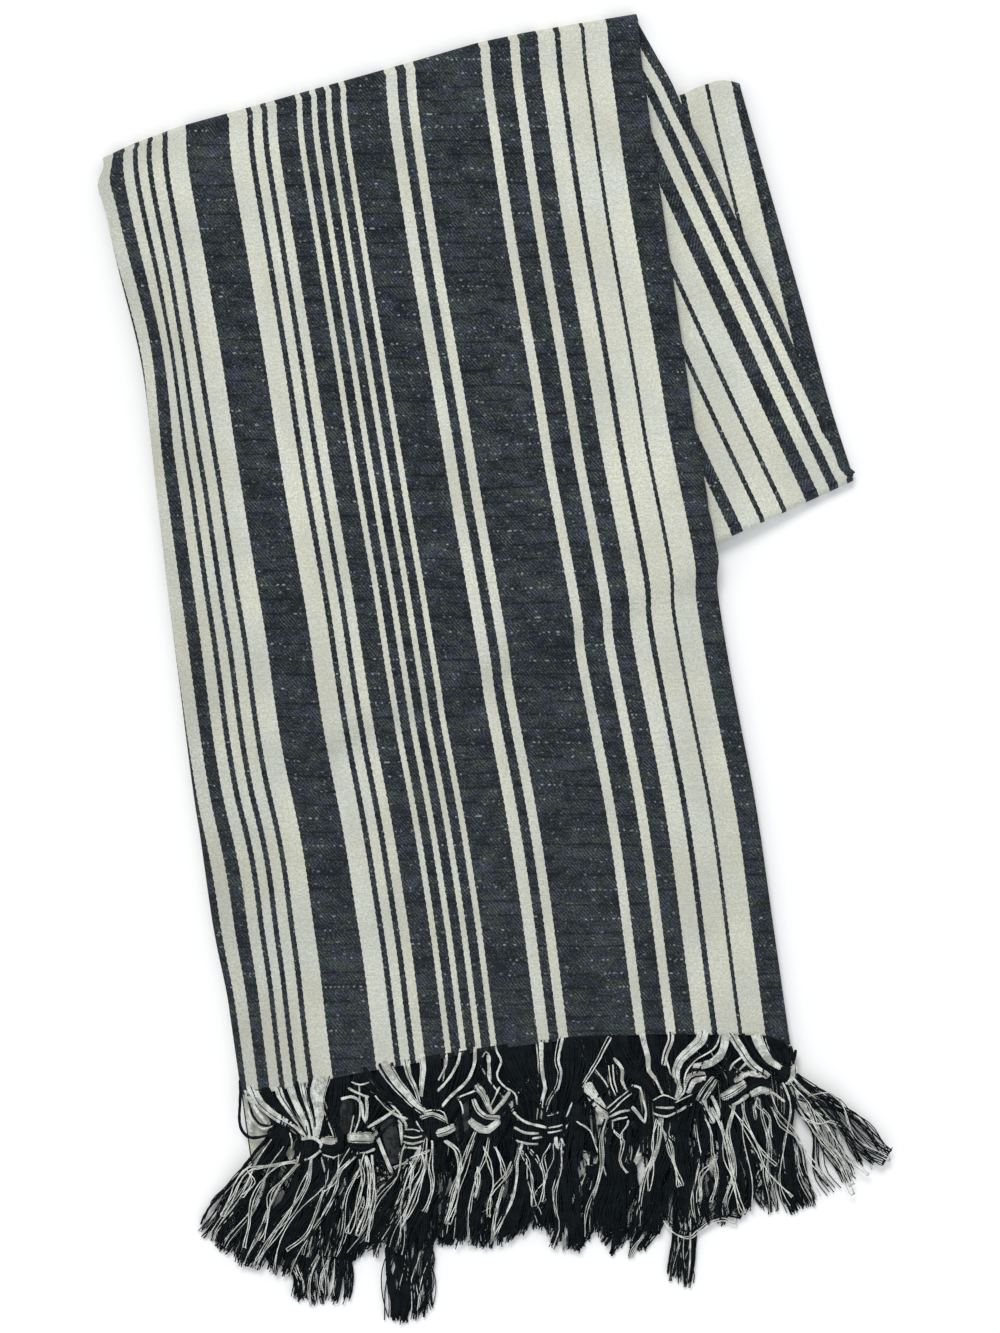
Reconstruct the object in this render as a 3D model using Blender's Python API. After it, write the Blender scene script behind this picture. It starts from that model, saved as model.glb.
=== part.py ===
"""A striped hammam towel with knotted tassels along both ends, folded and laid flat.

The cloth is folded in three lengthwise, so that three plies lie over each other, and this
band is folded back and forth across its length into four sections, one above the other:
front panel, second, third and back section. Every tassel is a fan of loose warp yarns that
starts at the woven end, a knot, and the locks that spread from it.

All sizes are in millimetres, and a mesh is written in metres. X runs across the towel, Y
along it towards the folded end and Z up. The towel lies on the plane Z = 0, and its origin
is the middle of its outline on that plane.
"""
import math
from collections import namedtuple

import bmesh
import bpy
from mathutils import Vector

MILLIMETRE = 0.001

# The cloth.
CLOTH_THICKNESS = 1.0
BAND_WIDTH = 333.0
PLY_PITCH = 1.35
SECTION_PITCH = 4.9
BAND_THICKNESS = 2 * PLY_PITCH + CLOTH_THICKNESS
FOLD_RADIUS = SECTION_PITCH / 2
FOLD_DEPTH = FOLD_RADIUS + BAND_THICKNESS / 2
UNDER_PLY_INSET = 1.0
FOLD_STEPS = 4
SIDE_FOLD_STEPS = 3
PLY_COLUMNS = (0.0, 0.07, 0.15, 0.24, 0.34, 0.46, 0.60, 0.75, 0.90, 1.0)

# How an upper section comes down beyond the edge of one that lies below it.
FOLD_SLOPE_START = 3.0
FOLD_SLOPE_LENGTH = 46.0
SIDE_SLOPE_START = 16.0
SIDE_SLOPE_LENGTH = 66.0

# A row runs across the band from its left edge to its right edge, and the steps are the
# rings of the mesh from this row to the next.
Row = namedtuple("Row", "left_x left_y right_x right_y steps")

TOP_FOLD = Row(-237, 305, 84, 391, 5)
LOWER_FOLD = Row(-88, -28, 216, 111, 1)
INNER_TOP_FOLD = Row(-181, 282, 146, 349, 2)

FRONT_ROWS = (
    Row(-153, -261, 177, -232, 2),
    Row(-161, -204, 165, -148, 1),
    Row(-170, -159, 153, -63, 2),
    Row(-178, -104, 134, 38, 4),
    Row(-183, -71, 131, 72, 2),
    Row(-196, 32, 117, 152, 2),
    Row(-210, 144, 104, 241, 4),
    Row(-234, 270, 90, 338, 5),
    TOP_FOLD,
)
SECOND_ROWS = (
    TOP_FOLD,
    Row(-222, 273, 110, 342, 2),
    Row(-195, 213, 131, 295, 2),
    Row(-155, 123, 163, 225, 2),
    Row(-123, 50, 189, 168, 2),
    LOWER_FOLD,
)
THIRD_ROWS = (
    LOWER_FOLD,
    Row(-107, 34, 200, 159, 2),
    Row(-128, 105, 185, 213, 2),
    Row(-156, 198, 164, 285, 2),
    INNER_TOP_FOLD,
)
BACK_ROWS = (
    INNER_TOP_FOLD,
    Row(-185, 159, 133, 201, 2),
    Row(-188, 15, 124, 63, 2),
    Row(-174, -114, 146, -81, 2),
    Row(-148, -300, 165, -273, 0),
)
SECTIONS = (FRONT_ROWS, SECOND_ROWS, THIRD_ROWS, BACK_ROWS)

# The fan of loose warp yarns, from the woven end down to the knot. The plies are named as
# they lie in the front panel: A above, B in the middle and C below.
PLY_OFFSETS = {"A": PLY_PITCH, "B": 0.0, "C": -PLY_PITCH}
PIECE_GAP = 0.3
FAN_GAP = 0.8
FAN_CURVE = 1.7
FAN_STATIONS = (0.0, 0.4, 0.8)
NECK_HALF_WIDTH = 3.5
NECK_HALF_HEIGHT = 1.3
NECK_DROP_SHARE = 0.6

# The knot. Those of the front fringe lie on the back section's yarns, the others on the floor.
KNOT_HALF_LENGTH = 6.0
KNOT_HALF_WIDTH = 6.2
KNOT_HALF_HEIGHT = 3.0
KNOT_END_WIDTH = 5.4
KNOT_END_HEIGHT = 2.3
KNOT_CLEARANCE = 0.4
FRONT_KNOT_HEIGHT = BAND_THICKNESS + KNOT_CLEARANCE + KNOT_HALF_HEIGHT
BACK_KNOT_HEIGHT = KNOT_HALF_HEIGHT

# The locks of a tassel, at points along them counted from the knot (0) to the tips (1).
LOCKS = 5
LOCK_SIDES = 4
LOCK_WIDTH_SHARE = 0.78
LOCK_WIDEST = 4.4
LOCK_HALF_HEIGHT = 1.0
LOCK_TIP_SHARE = 0.7
LOCK_CLEARANCE = 0.6
FRONT_LOCK_POINTS = (0.2, 0.62, 1.0)
BACK_LOCK_POINTS = (0.3, 1.0)
ON_FLOOR = LOCK_HALF_HEIGHT
ON_FRINGE = ON_FLOOR + 2 * LOCK_HALF_HEIGHT + LOCK_CLEARANCE
OVER_KNOTS = 2 * KNOT_HALF_HEIGHT + PIECE_GAP + LOCK_HALF_HEIGHT

CHARCOAL = (0.035, 0.042, 0.055, 1.0)
CREAM = (0.72, 0.70, 0.62, 1.0)
COTTON_ROUGHNESS = 0.9

# base_from and base_to are distances across the band from its left edge, and the tips of
# one tassel's locks lie on the line from the tip_left point to the tip_right point.
Tassel = namedtuple(
    "Tassel",
    "ply base_from base_to knot_x knot_y tip_left_x tip_left_y tip_right_x tip_right_y rest colour",
)

FRONT_TASSELS = (
    Tassel("B", 0, 66, -132, -284, -178, -342, -165, -356, ON_FLOOR, CHARCOAL),
    Tassel("A", 1, 67, -113, -291, -161, -358, -145, -359, ON_FRINGE, CHARCOAL),
    Tassel("C", 3, 66, -97, -289, -140, -361, -125, -363, ON_FRINGE, CREAM),
    Tassel("C", 67, 133, -81, -285, -117, -358, -94, -362, ON_FRINGE, CREAM),
    Tassel("B", 67, 133, -52, -283, -90, -358, -75, -356, ON_FRINGE, CREAM),
    Tassel("A", 68, 157, -37, -277, -71, -358, -43, -358, ON_FRINGE, CHARCOAL),
    Tassel("C", 133, 200, -7, -274, -37, -352, -11, -352, ON_FRINGE, CREAM),
    Tassel("B", 133, 200, 18, -280, -7, -355, 9, -346, ON_FRINGE, CREAM),
    Tassel("A", 157, 219, 33, -280, 13, -344, 30, -343, ON_FRINGE, CHARCOAL),
    Tassel("C", 200, 266, 49, -271, 33, -352, 50, -358, ON_FRINGE, CHARCOAL),
    Tassel("B", 200, 266, 75, -265, 54, -349, 75, -345, ON_FRINGE, CHARCOAL),
    Tassel("A", 219, 279, 102, -265, 79, -348, 100, -343, ON_FRINGE, CHARCOAL),
    Tassel("A", 279, 303, 123, -252, 104, -340, 129, -338, ON_FRINGE, CREAM),
    Tassel("B", 267, 331, 142, -256, 133, -337, 153, -330, ON_FRINGE, CREAM),
    Tassel("C", 267, 331, 158, -252, 163, -326, 187, -325, ON_FLOOR, CREAM),
    Tassel("A", 303, 332, 174, -246, 191, -321, 235.8, -297, ON_FLOOR, CHARCOAL),
)
BACK_TASSELS = (
    Tassel("A", 1, 55, -141, -322, -146, -358, -131, -364, ON_FLOOR, CHARCOAL),
    Tassel("B", 0, 66, -121, -321, -128, -368, -114, -381, ON_FLOOR, CHARCOAL),
    Tassel("C", 3, 66, -101, -319, -111, -382, -93, -383, ON_FLOOR, CREAM),
    Tassel("A", 56, 111, -81, -317, -89, -362, -77, -358, ON_FLOOR, CHARCOAL),
    Tassel("B", 67, 133, -61, -316, -73, -388, -61, -390.9, ON_FLOOR, CHARCOAL),
    Tassel("C", 67, 133, -41, -314, -57, -390.9, -46, -381, ON_FLOOR, CREAM),
    Tassel("A", 111, 167, -21, -312, -35, -352, -21, -351, ON_FLOOR, CHARCOAL),
    Tassel("B", 133, 200, -1, -310, -16, -352, -3, -355, ON_FLOOR, CREAM),
    Tassel("C", 133, 200, 19, -309, 1, -349, 16, -344, ON_FLOOR, CHARCOAL),
    Tassel("A", 167, 222, 39, -307, 20, -340, 36, -348, ON_FLOOR, CHARCOAL),
    Tassel("B", 200, 266, 59, -305, 39, -354, 56, -351, ON_FLOOR, CREAM),
    Tassel("C", 200, 266, 79, -303, 60, -348, 70, -358, ON_FLOOR, CHARCOAL),
    Tassel("A", 222, 278, 99, -302, 73, -360, 90, -358, ON_FLOOR, CREAM),
    Tassel("B", 267, 331, 119, -300, 99, -369, 117, -376, ON_FLOOR, CHARCOAL),
    Tassel("C", 267, 331, 138, -298, 126, -340, 140, -338, ON_FLOOR, CREAM),
    Tassel("A", 278, 332, 158, -297, 144, -337, 157, -324, ON_FLOOR, CHARCOAL),
)


def clear_scene():
    for old in list(bpy.data.objects):
        bpy.data.objects.remove(old, do_unlink=True)


def cotton(name, colour):
    material = bpy.data.materials.new(name)
    material.use_nodes = True
    shader = material.node_tree.nodes["Principled BSDF"]
    shader.inputs["Base Color"].default_value = colour
    shader.inputs["Roughness"].default_value = COTTON_ROUGHNESS
    shader.inputs["Metallic"].default_value = 0.0
    return material


def add_solid(name, points, faces, colour):
    """Make one object from points in millimetres, with its faces turned outwards."""
    mesh = bpy.data.meshes.new(name)
    mesh.from_pydata([point * MILLIMETRE for point in points], [], faces)
    shaper = bmesh.new()
    shaper.from_mesh(mesh)
    bmesh.ops.recalc_face_normals(shaper, faces=shaper.faces)
    if shaper.calc_volume(signed=True) < 0:
        bmesh.ops.reverse_faces(shaper, faces=shaper.faces)
    bmesh.ops.triangulate(shaper, faces=shaper.faces)
    shaper.to_mesh(mesh)
    shaper.free()
    mesh.materials.append(cotton(name, colour))
    solid = bpy.data.objects.new(name, mesh)
    bpy.context.scene.collection.objects.link(solid)
    return solid


def mix(first, second, share):
    return first + (second - first) * share


def ends(row):
    return Vector((row.left_x, row.left_y)), Vector((row.right_x, row.right_y))


def across(row_ends, share):
    return row_ends[0].lerp(row_ends[1], share)


def lifted(place, height):
    return Vector((place.x, place.y, height))


def level_normal(row_ends, towards):
    """The level direction square to a row, on the side where the point towards lies."""
    run = (row_ends[1] - row_ends[0]).normalized()
    normal = Vector((-run.y, run.x))
    return normal if normal.dot(towards - row_ends[0]) > 0 else -normal


def curve_point(before, start, end, after, share):
    """A point of the smooth curve through start and end."""
    slope_in = (end - before) / 2
    slope_out = (after - start) / 2
    square = share * share
    cube = square * share
    return (
        start * (2 * cube - 3 * square + 1)
        + slope_in * (cube - 2 * square + share)
        + end * (3 * square - 2 * cube)
        + slope_out * (cube - square)
    )


def section_lines(rows, folded_start, folded_end):
    """The lines across one section at which the mesh has a ring, as pairs of end points."""
    controls = [ends(row) for row in rows]
    if folded_start:
        inwards = level_normal(controls[0], controls[1][0]) * FOLD_DEPTH
        controls[0] = tuple(point + inwards for point in controls[0])
    if folded_end:
        inwards = level_normal(controls[-1], controls[-2][0]) * FOLD_DEPTH
        controls[-1] = tuple(point + inwards for point in controls[-1])
    padded = [controls[0]] + controls + [controls[-1]]
    lines = [controls[0]]
    for index, row in enumerate(rows[:-1]):
        around = padded[index:index + 4]
        for step in range(1, row.steps + 1):
            share = step / row.steps
            line = tuple(curve_point(*[pair[side] for pair in around], share) for side in (0, 1))
            lines.append(line)
    return lines


def ease(share):
    share = min(max(share, 0.0), 1.0)
    return share * share * (3 - 2 * share)


def beyond_line(point, row, inside):
    """How far a point lies beyond a row, on the side away from the point inside."""
    row_ends = ends(row)
    return -level_normal(row_ends, inside).dot(point - row_ends[0])


def beyond_edge(point, edge, outside_sign):
    """How far a point lies outside a section's left (-1) or right (+1) edge."""
    nearest = None
    for start, end in zip(edge, edge[1:]):
        run = end - start
        share = min(max((point - start).dot(run) / run.length_squared, 0.0), 1.0)
        away = point - start.lerp(end, share)
        side = run.x * (point - start).y - run.y * (point - start).x
        if nearest is None or away.length < nearest[0]:
            nearest = (away.length, side)
    downwards = 1 if edge[-1].y < edge[0].y else -1
    return nearest[0] if nearest[1] * outside_sign * downwards > 0 else -nearest[0]


def presence(point, rows):
    """1 over a section, falling smoothly to 0 at some distance outside it."""
    middle = sum((Vector(line) for row in rows for line in ends(row)), Vector((0.0, 0.0)))
    middle = middle / (2 * len(rows))
    left_edge = [ends(row)[0] for row in rows]
    right_edge = [ends(row)[1] for row in rows]
    aside = max(beyond_edge(point, left_edge, -1), beyond_edge(point, right_edge, 1))
    along = max(beyond_line(point, rows[0], middle), beyond_line(point, rows[-1], middle))
    side_share = (aside - SIDE_SLOPE_START) / SIDE_SLOPE_LENGTH
    fold_share = (along - FOLD_SLOPE_START) / FOLD_SLOPE_LENGTH
    return (1 - ease(side_share)) * (1 - ease(fold_share))


def band_height(point, section):
    """Height of the middle of a section's three plies above a point of the floor."""
    below = SECTIONS[section + 1:]
    return BAND_THICKNESS / 2 + SECTION_PITCH * sum(presence(point, rows) for rows in below)


def ply_profile():
    """The cut through the three plies: distance across the band, and offset from its middle.

    It is one closed outline of a sheet folded in three, ply A with its free edge at the
    right, then B, then C with its free edge at the left.
    """
    turn = PLY_PITCH / 2
    reach = turn + CLOTH_THICKNESS / 2
    left = reach
    right = BAND_WIDTH - UNDER_PLY_INSET - reach
    line = [(mix(left, BAND_WIDTH, share), PLY_PITCH) for share in reversed(PLY_COLUMNS)]
    for step in range(1, SIDE_FOLD_STEPS):
        angle = math.pi * step / SIDE_FOLD_STEPS
        line.append((left - turn * math.sin(angle), turn + turn * math.cos(angle)))
    line += [(mix(left, right, share), 0.0) for share in PLY_COLUMNS]
    for step in range(1, SIDE_FOLD_STEPS):
        angle = math.pi * step / SIDE_FOLD_STEPS
        line.append((right + turn * math.sin(angle), -turn + turn * math.cos(angle)))
    line += [(mix(left, right, share), -PLY_PITCH) for share in reversed(PLY_COLUMNS)]
    return thick_outline([Vector(point) for point in line])


def thick_outline(line):
    """Both sides of a line that is given the thickness of the cloth."""
    sides = ([], [])
    for index, point in enumerate(line):
        before = (point - line[index - 1]).normalized() if index else None
        after = (line[index + 1] - point).normalized() if index + 1 < len(line) else before
        run = ((before or after) + after).normalized()
        stretch = 1 / run.dot(after)
        out = Vector((-run.y, run.x)) * (CLOTH_THICKNESS / 2 * stretch)
        sides[0].append(point + out)
        sides[1].append(point - out)
    return sides[0] + sides[1][::-1]


def flat_ring(profile, line, section):
    """The profile laid across one line of a section. Every second section is turned over."""
    turned = 1 if section % 2 == 0 else -1
    ring = []
    for distance, offset in profile:
        place = across(line, distance / BAND_WIDTH)
        ring.append(lifted(place, band_height(place, section) + turned * offset))
    return ring


def fold_rings(profile, line, section, outwards):
    """The profile carried round the fold from one section to the next one below."""
    turned = 1 if section % 2 == 0 else -1
    rings = []
    for step in range(1, FOLD_STEPS):
        angle = math.pi * step / FOLD_STEPS
        ring = []
        for distance, offset in profile:
            radius = FOLD_RADIUS + turned * offset
            place = across(line, distance / BAND_WIDTH)
            centre = band_height(place, section) - FOLD_RADIUS
            place = place + outwards * (radius * math.sin(angle))
            ring.append(lifted(place, centre + radius * math.cos(angle)))
        rings.append(ring)
    return rings


def ring_faces(ring_count, ring_size):
    """The side faces of a skin through rings of equal length."""
    faces = []
    for index in range(ring_count - 1):
        near = index * ring_size
        far = near + ring_size
        for corner in range(ring_size):
            following = (corner + 1) % ring_size
            faces.append((near + corner, near + following, far + following, far + corner))
    return faces


def end_strip(first, ring_size):
    """Faces that close a ring whose first and second half are two sides of a thin strip."""
    faces = []
    for index in range(ring_size // 2 - 1):
        opposite = ring_size - 1 - index
        faces.append((first + index, first + index + 1, first + opposite - 1, first + opposite))
    return faces


def make_cloth():
    profile = ply_profile()
    rings = []
    last = len(SECTIONS) - 1
    for section, rows in enumerate(SECTIONS):
        lines = section_lines(rows, section > 0, section < last)
        rings += [flat_ring(profile, line, section) for line in lines]
        if section < last:
            outwards = level_normal(lines[-1], lines[-2][0]) * -1
            rings += fold_rings(profile, lines[-1], section, outwards)
    points = [point for ring in rings for point in ring]
    faces = ring_faces(len(rings), len(profile))
    faces += end_strip(0, len(profile))
    faces += end_strip((len(rings) - 1) * len(profile), len(profile))
    return add_solid("cloth", points, faces, CHARCOAL)


def tassel_ring(centre, direction, half_width, half_height, roundness):
    """One ring of a tassel: a row of points on its upper side and a row on its lower side."""
    columns = LOCKS + 1
    upper = []
    lower = []
    for index in range(columns):
        angle = math.pi * (1 - (index + 0.5) / columns)
        straight = 2 * index / LOCKS - 1
        aside = half_width * mix(straight, math.cos(angle), roundness)
        rise = half_height * mix(1.0, math.sin(angle), roundness)
        place = centre + direction * aside
        upper.append(place + Vector((0.0, 0.0, rise)))
        lower.append(place - Vector((0.0, 0.0, rise)))
    return upper + lower[::-1]


def tip_ends(tassel):
    left = Vector((tassel.tip_left_x, tassel.tip_left_y))
    return left, Vector((tassel.tip_right_x, tassel.tip_right_y))


def head_rings(tassel, end_line, ply_height, knot_height):
    """Rings of the fan of yarns from the woven end down to the knot, and of the knot."""
    start = across(end_line, (tassel.base_from + FAN_GAP / 2) / BAND_WIDTH)
    end = across(end_line, (tassel.base_to - FAN_GAP / 2) / BAND_WIDTH)
    knot = Vector((tassel.knot_x, tassel.knot_y))
    base = (start + end) / 2 + level_normal(end_line, knot) * PIECE_GAP
    edge_run = (end - start).normalized()
    knot_run = (sum(tip_ends(tassel), Vector((0.0, 0.0))) / 2 - base).normalized()
    knot_across = Vector((-knot_run.y, knot_run.x))
    if knot_across.dot(edge_run) < 0:
        knot_across = -knot_across
    top = knot - knot_run * KNOT_HALF_LENGTH
    bottom = knot + knot_run * KNOT_HALF_LENGTH
    rings = []
    for share in FAN_STATIONS:
        spread = (1 - share) ** FAN_CURVE
        place = lifted(base.lerp(top, share), ply_height)
        turned = knot_across.lerp(edge_run, spread).normalized().to_3d()
        half_width = mix(NECK_HALF_WIDTH, (end - start).length / 2, spread)
        rings.append(tassel_ring(place, turned, half_width, CLOTH_THICKNESS / 2, 0.0))
    neck_height = mix(ply_height, knot_height, NECK_DROP_SHARE)
    sideways = knot_across.to_3d()
    neck = lifted(top, neck_height)
    rings.append(tassel_ring(neck, sideways, NECK_HALF_WIDTH, NECK_HALF_HEIGHT, 1.0))
    middle = lifted(knot, knot_height)
    rings.append(tassel_ring(middle, sideways, KNOT_HALF_WIDTH, KNOT_HALF_HEIGHT, 1.0))
    low_end = lifted(bottom, knot_height)
    rings.append(tassel_ring(low_end, sideways, KNOT_END_WIDTH, KNOT_END_HEIGHT, 1.0))
    return rings


def lock_sections(root, tip, spacing, shares, heights):
    """The four corners of a lock at each point along it."""
    run = (tip - root).normalized()
    aside = Vector((-run.y, run.x))
    sections = []
    for share, height in zip(shares, heights):
        place = root.lerp(tip, share)
        width = min(mix(spacing[0], spacing[1], share) * LOCK_WIDTH_SHARE, LOCK_WIDEST)
        if share == shares[-1]:
            width *= LOCK_TIP_SHARE
        left = place - aside * (width / 2)
        right = place + aside * (width / 2)
        high = height + LOCK_HALF_HEIGHT
        low = height - LOCK_HALF_HEIGHT
        sections.append((lifted(left, high), lifted(right, high), lifted(right, low), lifted(left, low)))
    return sections


def grow_lock(points, faces, corners, sections):
    """Add one lock to a tassel's skin, from four corners of the knot's lower end."""
    for section in sections:
        first = len(points)
        points.extend(section)
        for side in range(LOCK_SIDES):
            following = (side + 1) % LOCK_SIDES
            faces.append((corners[side], corners[following], first + following, first + side))
        corners = list(range(first, first + LOCK_SIDES))
    faces.append(tuple(corners))


def make_tassel(name, tassel, end_line, ply_height, knot_height, shares, heights):
    """One tassel: its fan and knot are one skin, and its locks grow from the knot's end."""
    rings = head_rings(tassel, end_line, ply_height, knot_height)
    ring_size = len(rings[0])
    points = [point for ring in rings for point in ring]
    faces = ring_faces(len(rings), ring_size)
    faces += end_strip(0, ring_size)
    last = (len(rings) - 1) * ring_size
    tip_left, tip_right = tip_ends(tassel)
    run = ((tip_left + tip_right) / 2 - Vector((tassel.knot_x, tassel.knot_y))).normalized()
    tip_spacing = abs(run.cross(tip_right - tip_left)) / (LOCKS - 1)
    for lock in range(LOCKS):
        opposite = last + ring_size - 1 - lock
        corners = [last + lock, last + lock + 1, opposite - 1, opposite]
        root = sum((points[corner].to_2d() for corner in corners), Vector((0.0, 0.0))) / len(corners)
        root_spacing = (points[corners[1]] - points[corners[0]]).to_2d().length
        tip = tip_left.lerp(tip_right, lock / (LOCKS - 1))
        sections = lock_sections(root, tip, (root_spacing, tip_spacing), shares, heights)
        grow_lock(points, faces, corners, sections)
    return add_solid(name, points, faces, tassel.colour)


def make_front_tassels():
    end_line = ends(FRONT_ROWS[0])
    for index, tassel in enumerate(FRONT_TASSELS, 1):
        base = across(end_line, (tassel.base_from + tassel.base_to) / 2 / BAND_WIDTH)
        ply_height = band_height(base, 0) + PLY_OFFSETS[tassel.ply]
        make_tassel(f"tassel_front_{index:02d}", tassel, end_line, ply_height,
                    FRONT_KNOT_HEIGHT, FRONT_LOCK_POINTS, (OVER_KNOTS, OVER_KNOTS, tassel.rest))


def make_back_tassels():
    end_line = ends(BACK_ROWS[-1])
    for index, tassel in enumerate(BACK_TASSELS, 1):
        ply_height = BAND_THICKNESS / 2 - PLY_OFFSETS[tassel.ply]
        make_tassel(f"tassel_back_{index:02d}", tassel, end_line, ply_height,
                    BACK_KNOT_HEIGHT, BACK_LOCK_POINTS, (tassel.rest, tassel.rest))


clear_scene()
make_cloth()
make_front_tassels()
make_back_tassels()
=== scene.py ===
"""Looks of the striped hammam towel: its folded cloth, the yarns and knots of its fringes.

The plan of the folds is the same as in the part's solids. Plan sizes are in millimetres, and
meshes are written in metres. X runs across the towel, Y along it towards the folded end.
"""
import itertools
import math
from collections import namedtuple

import bpy
import numpy as np
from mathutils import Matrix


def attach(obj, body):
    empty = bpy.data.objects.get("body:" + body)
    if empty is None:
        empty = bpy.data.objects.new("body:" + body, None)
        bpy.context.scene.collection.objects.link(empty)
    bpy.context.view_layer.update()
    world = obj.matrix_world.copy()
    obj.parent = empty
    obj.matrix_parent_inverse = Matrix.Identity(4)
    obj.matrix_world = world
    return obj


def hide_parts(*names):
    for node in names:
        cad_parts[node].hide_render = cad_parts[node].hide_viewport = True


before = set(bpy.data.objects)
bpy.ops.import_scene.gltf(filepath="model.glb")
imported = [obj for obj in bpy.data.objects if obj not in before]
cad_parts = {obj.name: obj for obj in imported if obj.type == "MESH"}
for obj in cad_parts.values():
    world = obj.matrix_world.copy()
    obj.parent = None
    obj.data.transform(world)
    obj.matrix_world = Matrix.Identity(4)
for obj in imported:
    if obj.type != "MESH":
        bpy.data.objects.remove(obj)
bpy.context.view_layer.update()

MILLIMETRE = 0.001
FLOOR_GAP = 0.02
SMALLEST = 1e-9
UP = np.array([0.0, 0.0, 1.0])

# The cloth and its folds.
CLOTH_THICKNESS = 0.8
BAND_WIDTH = 333.0
PLY_PITCH = 1.35
SECTION_PITCH = 4.9
BAND_THICKNESS = 3.7
FOLD_RADIUS = SECTION_PITCH / 2
FOLD_DEPTH = FOLD_RADIUS + BAND_THICKNESS / 2
UNDER_PLY_INSET = 1.0
FOLD_SLOPE_START = 2.0
FOLD_SLOPE_LENGTH = 26.0
SIDE_SLOPE_START = 14.0
SIDE_SLOPE_LENGTH = 60.0

# The place in the flat cloth where each ply's left edge lies, and which way places run from it.
PLY_STARTS = {"A": (BAND_WIDTH, -1), "B": (BAND_WIDTH + 1.0, 1), "C": (3 * BAND_WIDTH + 0.7, -1)}

# The weave of the top ply stops short of the plan's end line: pairs of distance across the
# band and length left out.
WOVEN_END = (
    (0, 3), (15, 3), (66, 10), (116, 14), (160, 17), (205, 18), (250, 16), (290, 12), (320, 9),
    (333, 3),
)
UNDER_PLIES_SHORTER = 5.0
END_ZONE = 60.0

# How far the stripes lie off their place, at the start and the end of a section, because the
# long folds wander.
Slip = namedtuple("Slip", "section ply start end")
SLIPS = (Slip(1, "C", 7.0, 8.5), Slip(2, "A", 3.0, 14.5))

# The same over the front panel: distance along it from the woven end, then the slip at each of
# FRONT_SLIP_PLACES across it.
FRONT_SLIP_PLACES = (0, 21, 24, 40, 80, 180, 333)
FRONT_SLIPS = (
    (20, 4.6, 3.0, 3.0, 2.6, 3.6, 5.0, 5.0),
    (45, 4.6, 3.2, 3.2, 2.2, 4.0, 5.2, 5.4),
    (106, 4.6, 5.6, 5.6, 5.4, 6.0, 6.6, 7.0),
    (179, 5.0, 7.4, 7.9, 8.4, 7.2, 7.0, 5.8),
    (252, 2.0, 1.9, 2.0, 2.6, 4.0, 4.9, 5.2),
    (325, 0.4, 2.6, 2.9, 3.8, 4.2, 3.4, 3.3),
    (397, 0.0, -0.6, -1.6, -2.4, -1.9, 0.2, 1.8),
    (470, 0.8, 1.0, -0.6, -1.7, -1.2, -1.5, 0.0),
    (545, 0.6, 0.0, 0.0, 0.0, 0.5, -0.3, -0.6),
    (590, -1.6, -1.8, -1.8, -0.6, 0.4, 0.6, 0.4),
)

# What the pleat near the left edge adds, in the same way.
PLEAT_SLIP_PLACES = (0, 8, 15, 19, 26, 35, 50, 90)
PLEAT_SLIPS = (
    (310, 0.0, 0.0, 0.0, 0.0, 0.0, 0.0, 0.0, 0.0),
    (340, 0.0, 0.4, 0.8, 0.1, 0.1, -0.3, -0.2, 0.0),
    (370, 0.0, 0.3, 1.1, 0.6, 1.1, 1.2, 1.2, 0.6),
    (400, 0.0, -0.3, 0.7, 0.5, 1.5, 1.7, 1.6, 0.6),
    (430, 0.0, -1.6, -0.5, -0.7, -0.5, 0.2, 0.9, 0.3),
    (455, 0.3, -1.4, 0.1, -1.7, -1.7, -1.1, 0.5, 0.2),
    (470, 1.2, -0.6, 0.6, -1.4, -1.7, -1.2, 0.5, 0.2),
    (490, 1.3, 0.7, 1.3, -0.6, -1.1, -0.9, 0.6, 0.2),
    (515, 1.1, 1.1, 1.8, 0.9, 0.8, 0.4, 1.0, 0.3),
    (530, 0.2, 0.9, 1.8, 1.1, 1.2, 0.7, 1.1, 0.3),
    (560, 0.0, 0.6, 1.5, 1.0, 1.1, 0.7, 0.9, 0.3),
    (590, 0.0, 0.0, 0.0, 0.0, 0.0, 0.0, 0.0, 0.0),
)

# Slips are evened out over this much of the length, by a mean of a few samples.
SLIP_SOFTNESS = 30.0
PLEAT_SOFTNESS = 8.0
SLIP_SAMPLES = 7

# How far a folded edge bows out from its straight line, for the section before the fold: pairs
# of distance across the band and bow.
FOLD_BOWS = {
    0: ((0, 0), (20, 3.5), (50, 6.3), (110, 6.8), (200, 7.8), (236, 8.6), (267, 7.0), (298, 4.1),
        (333, 0.6)),
    2: ((0, 0), (290, 1.5), (300, 1.0), (307, 3.4), (321, 5.2), (327, 4.0), (333, 0.8)),
}
FOLD_BOW_REACH = 55.0

# Small waves in the side edges: how far along its section each lies, how far it stands out, its
# reach along the edge and its depth into the cloth.
EdgeBend = namedtuple("EdgeBend", "section side along out reach depth")
EDGE_BENDS = (
    EdgeBend(0, "left", 576, 3.4, 11, 7),
    EdgeBend(0, "left", 478, -3.4, 42, 40),
    EdgeBend(0, "right", 165, -1.6, 45, 40),
    EdgeBend(0, "right", 274, -0.8, 6, 8),
    EdgeBend(0, "right", 239, 1.0, 8, 10),
    EdgeBend(1, "right", 50, -2.0, 20, 12),
    EdgeBend(1, "right", 291, -1.6, 6, 7),
    EdgeBend(1, "right", 306, 0.8, 6, 7),
    EdgeBend(1, "right", 320, -1.4, 5, 7),
    EdgeBend(1, "right", 329, 1.8, 4, 5),
)

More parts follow.
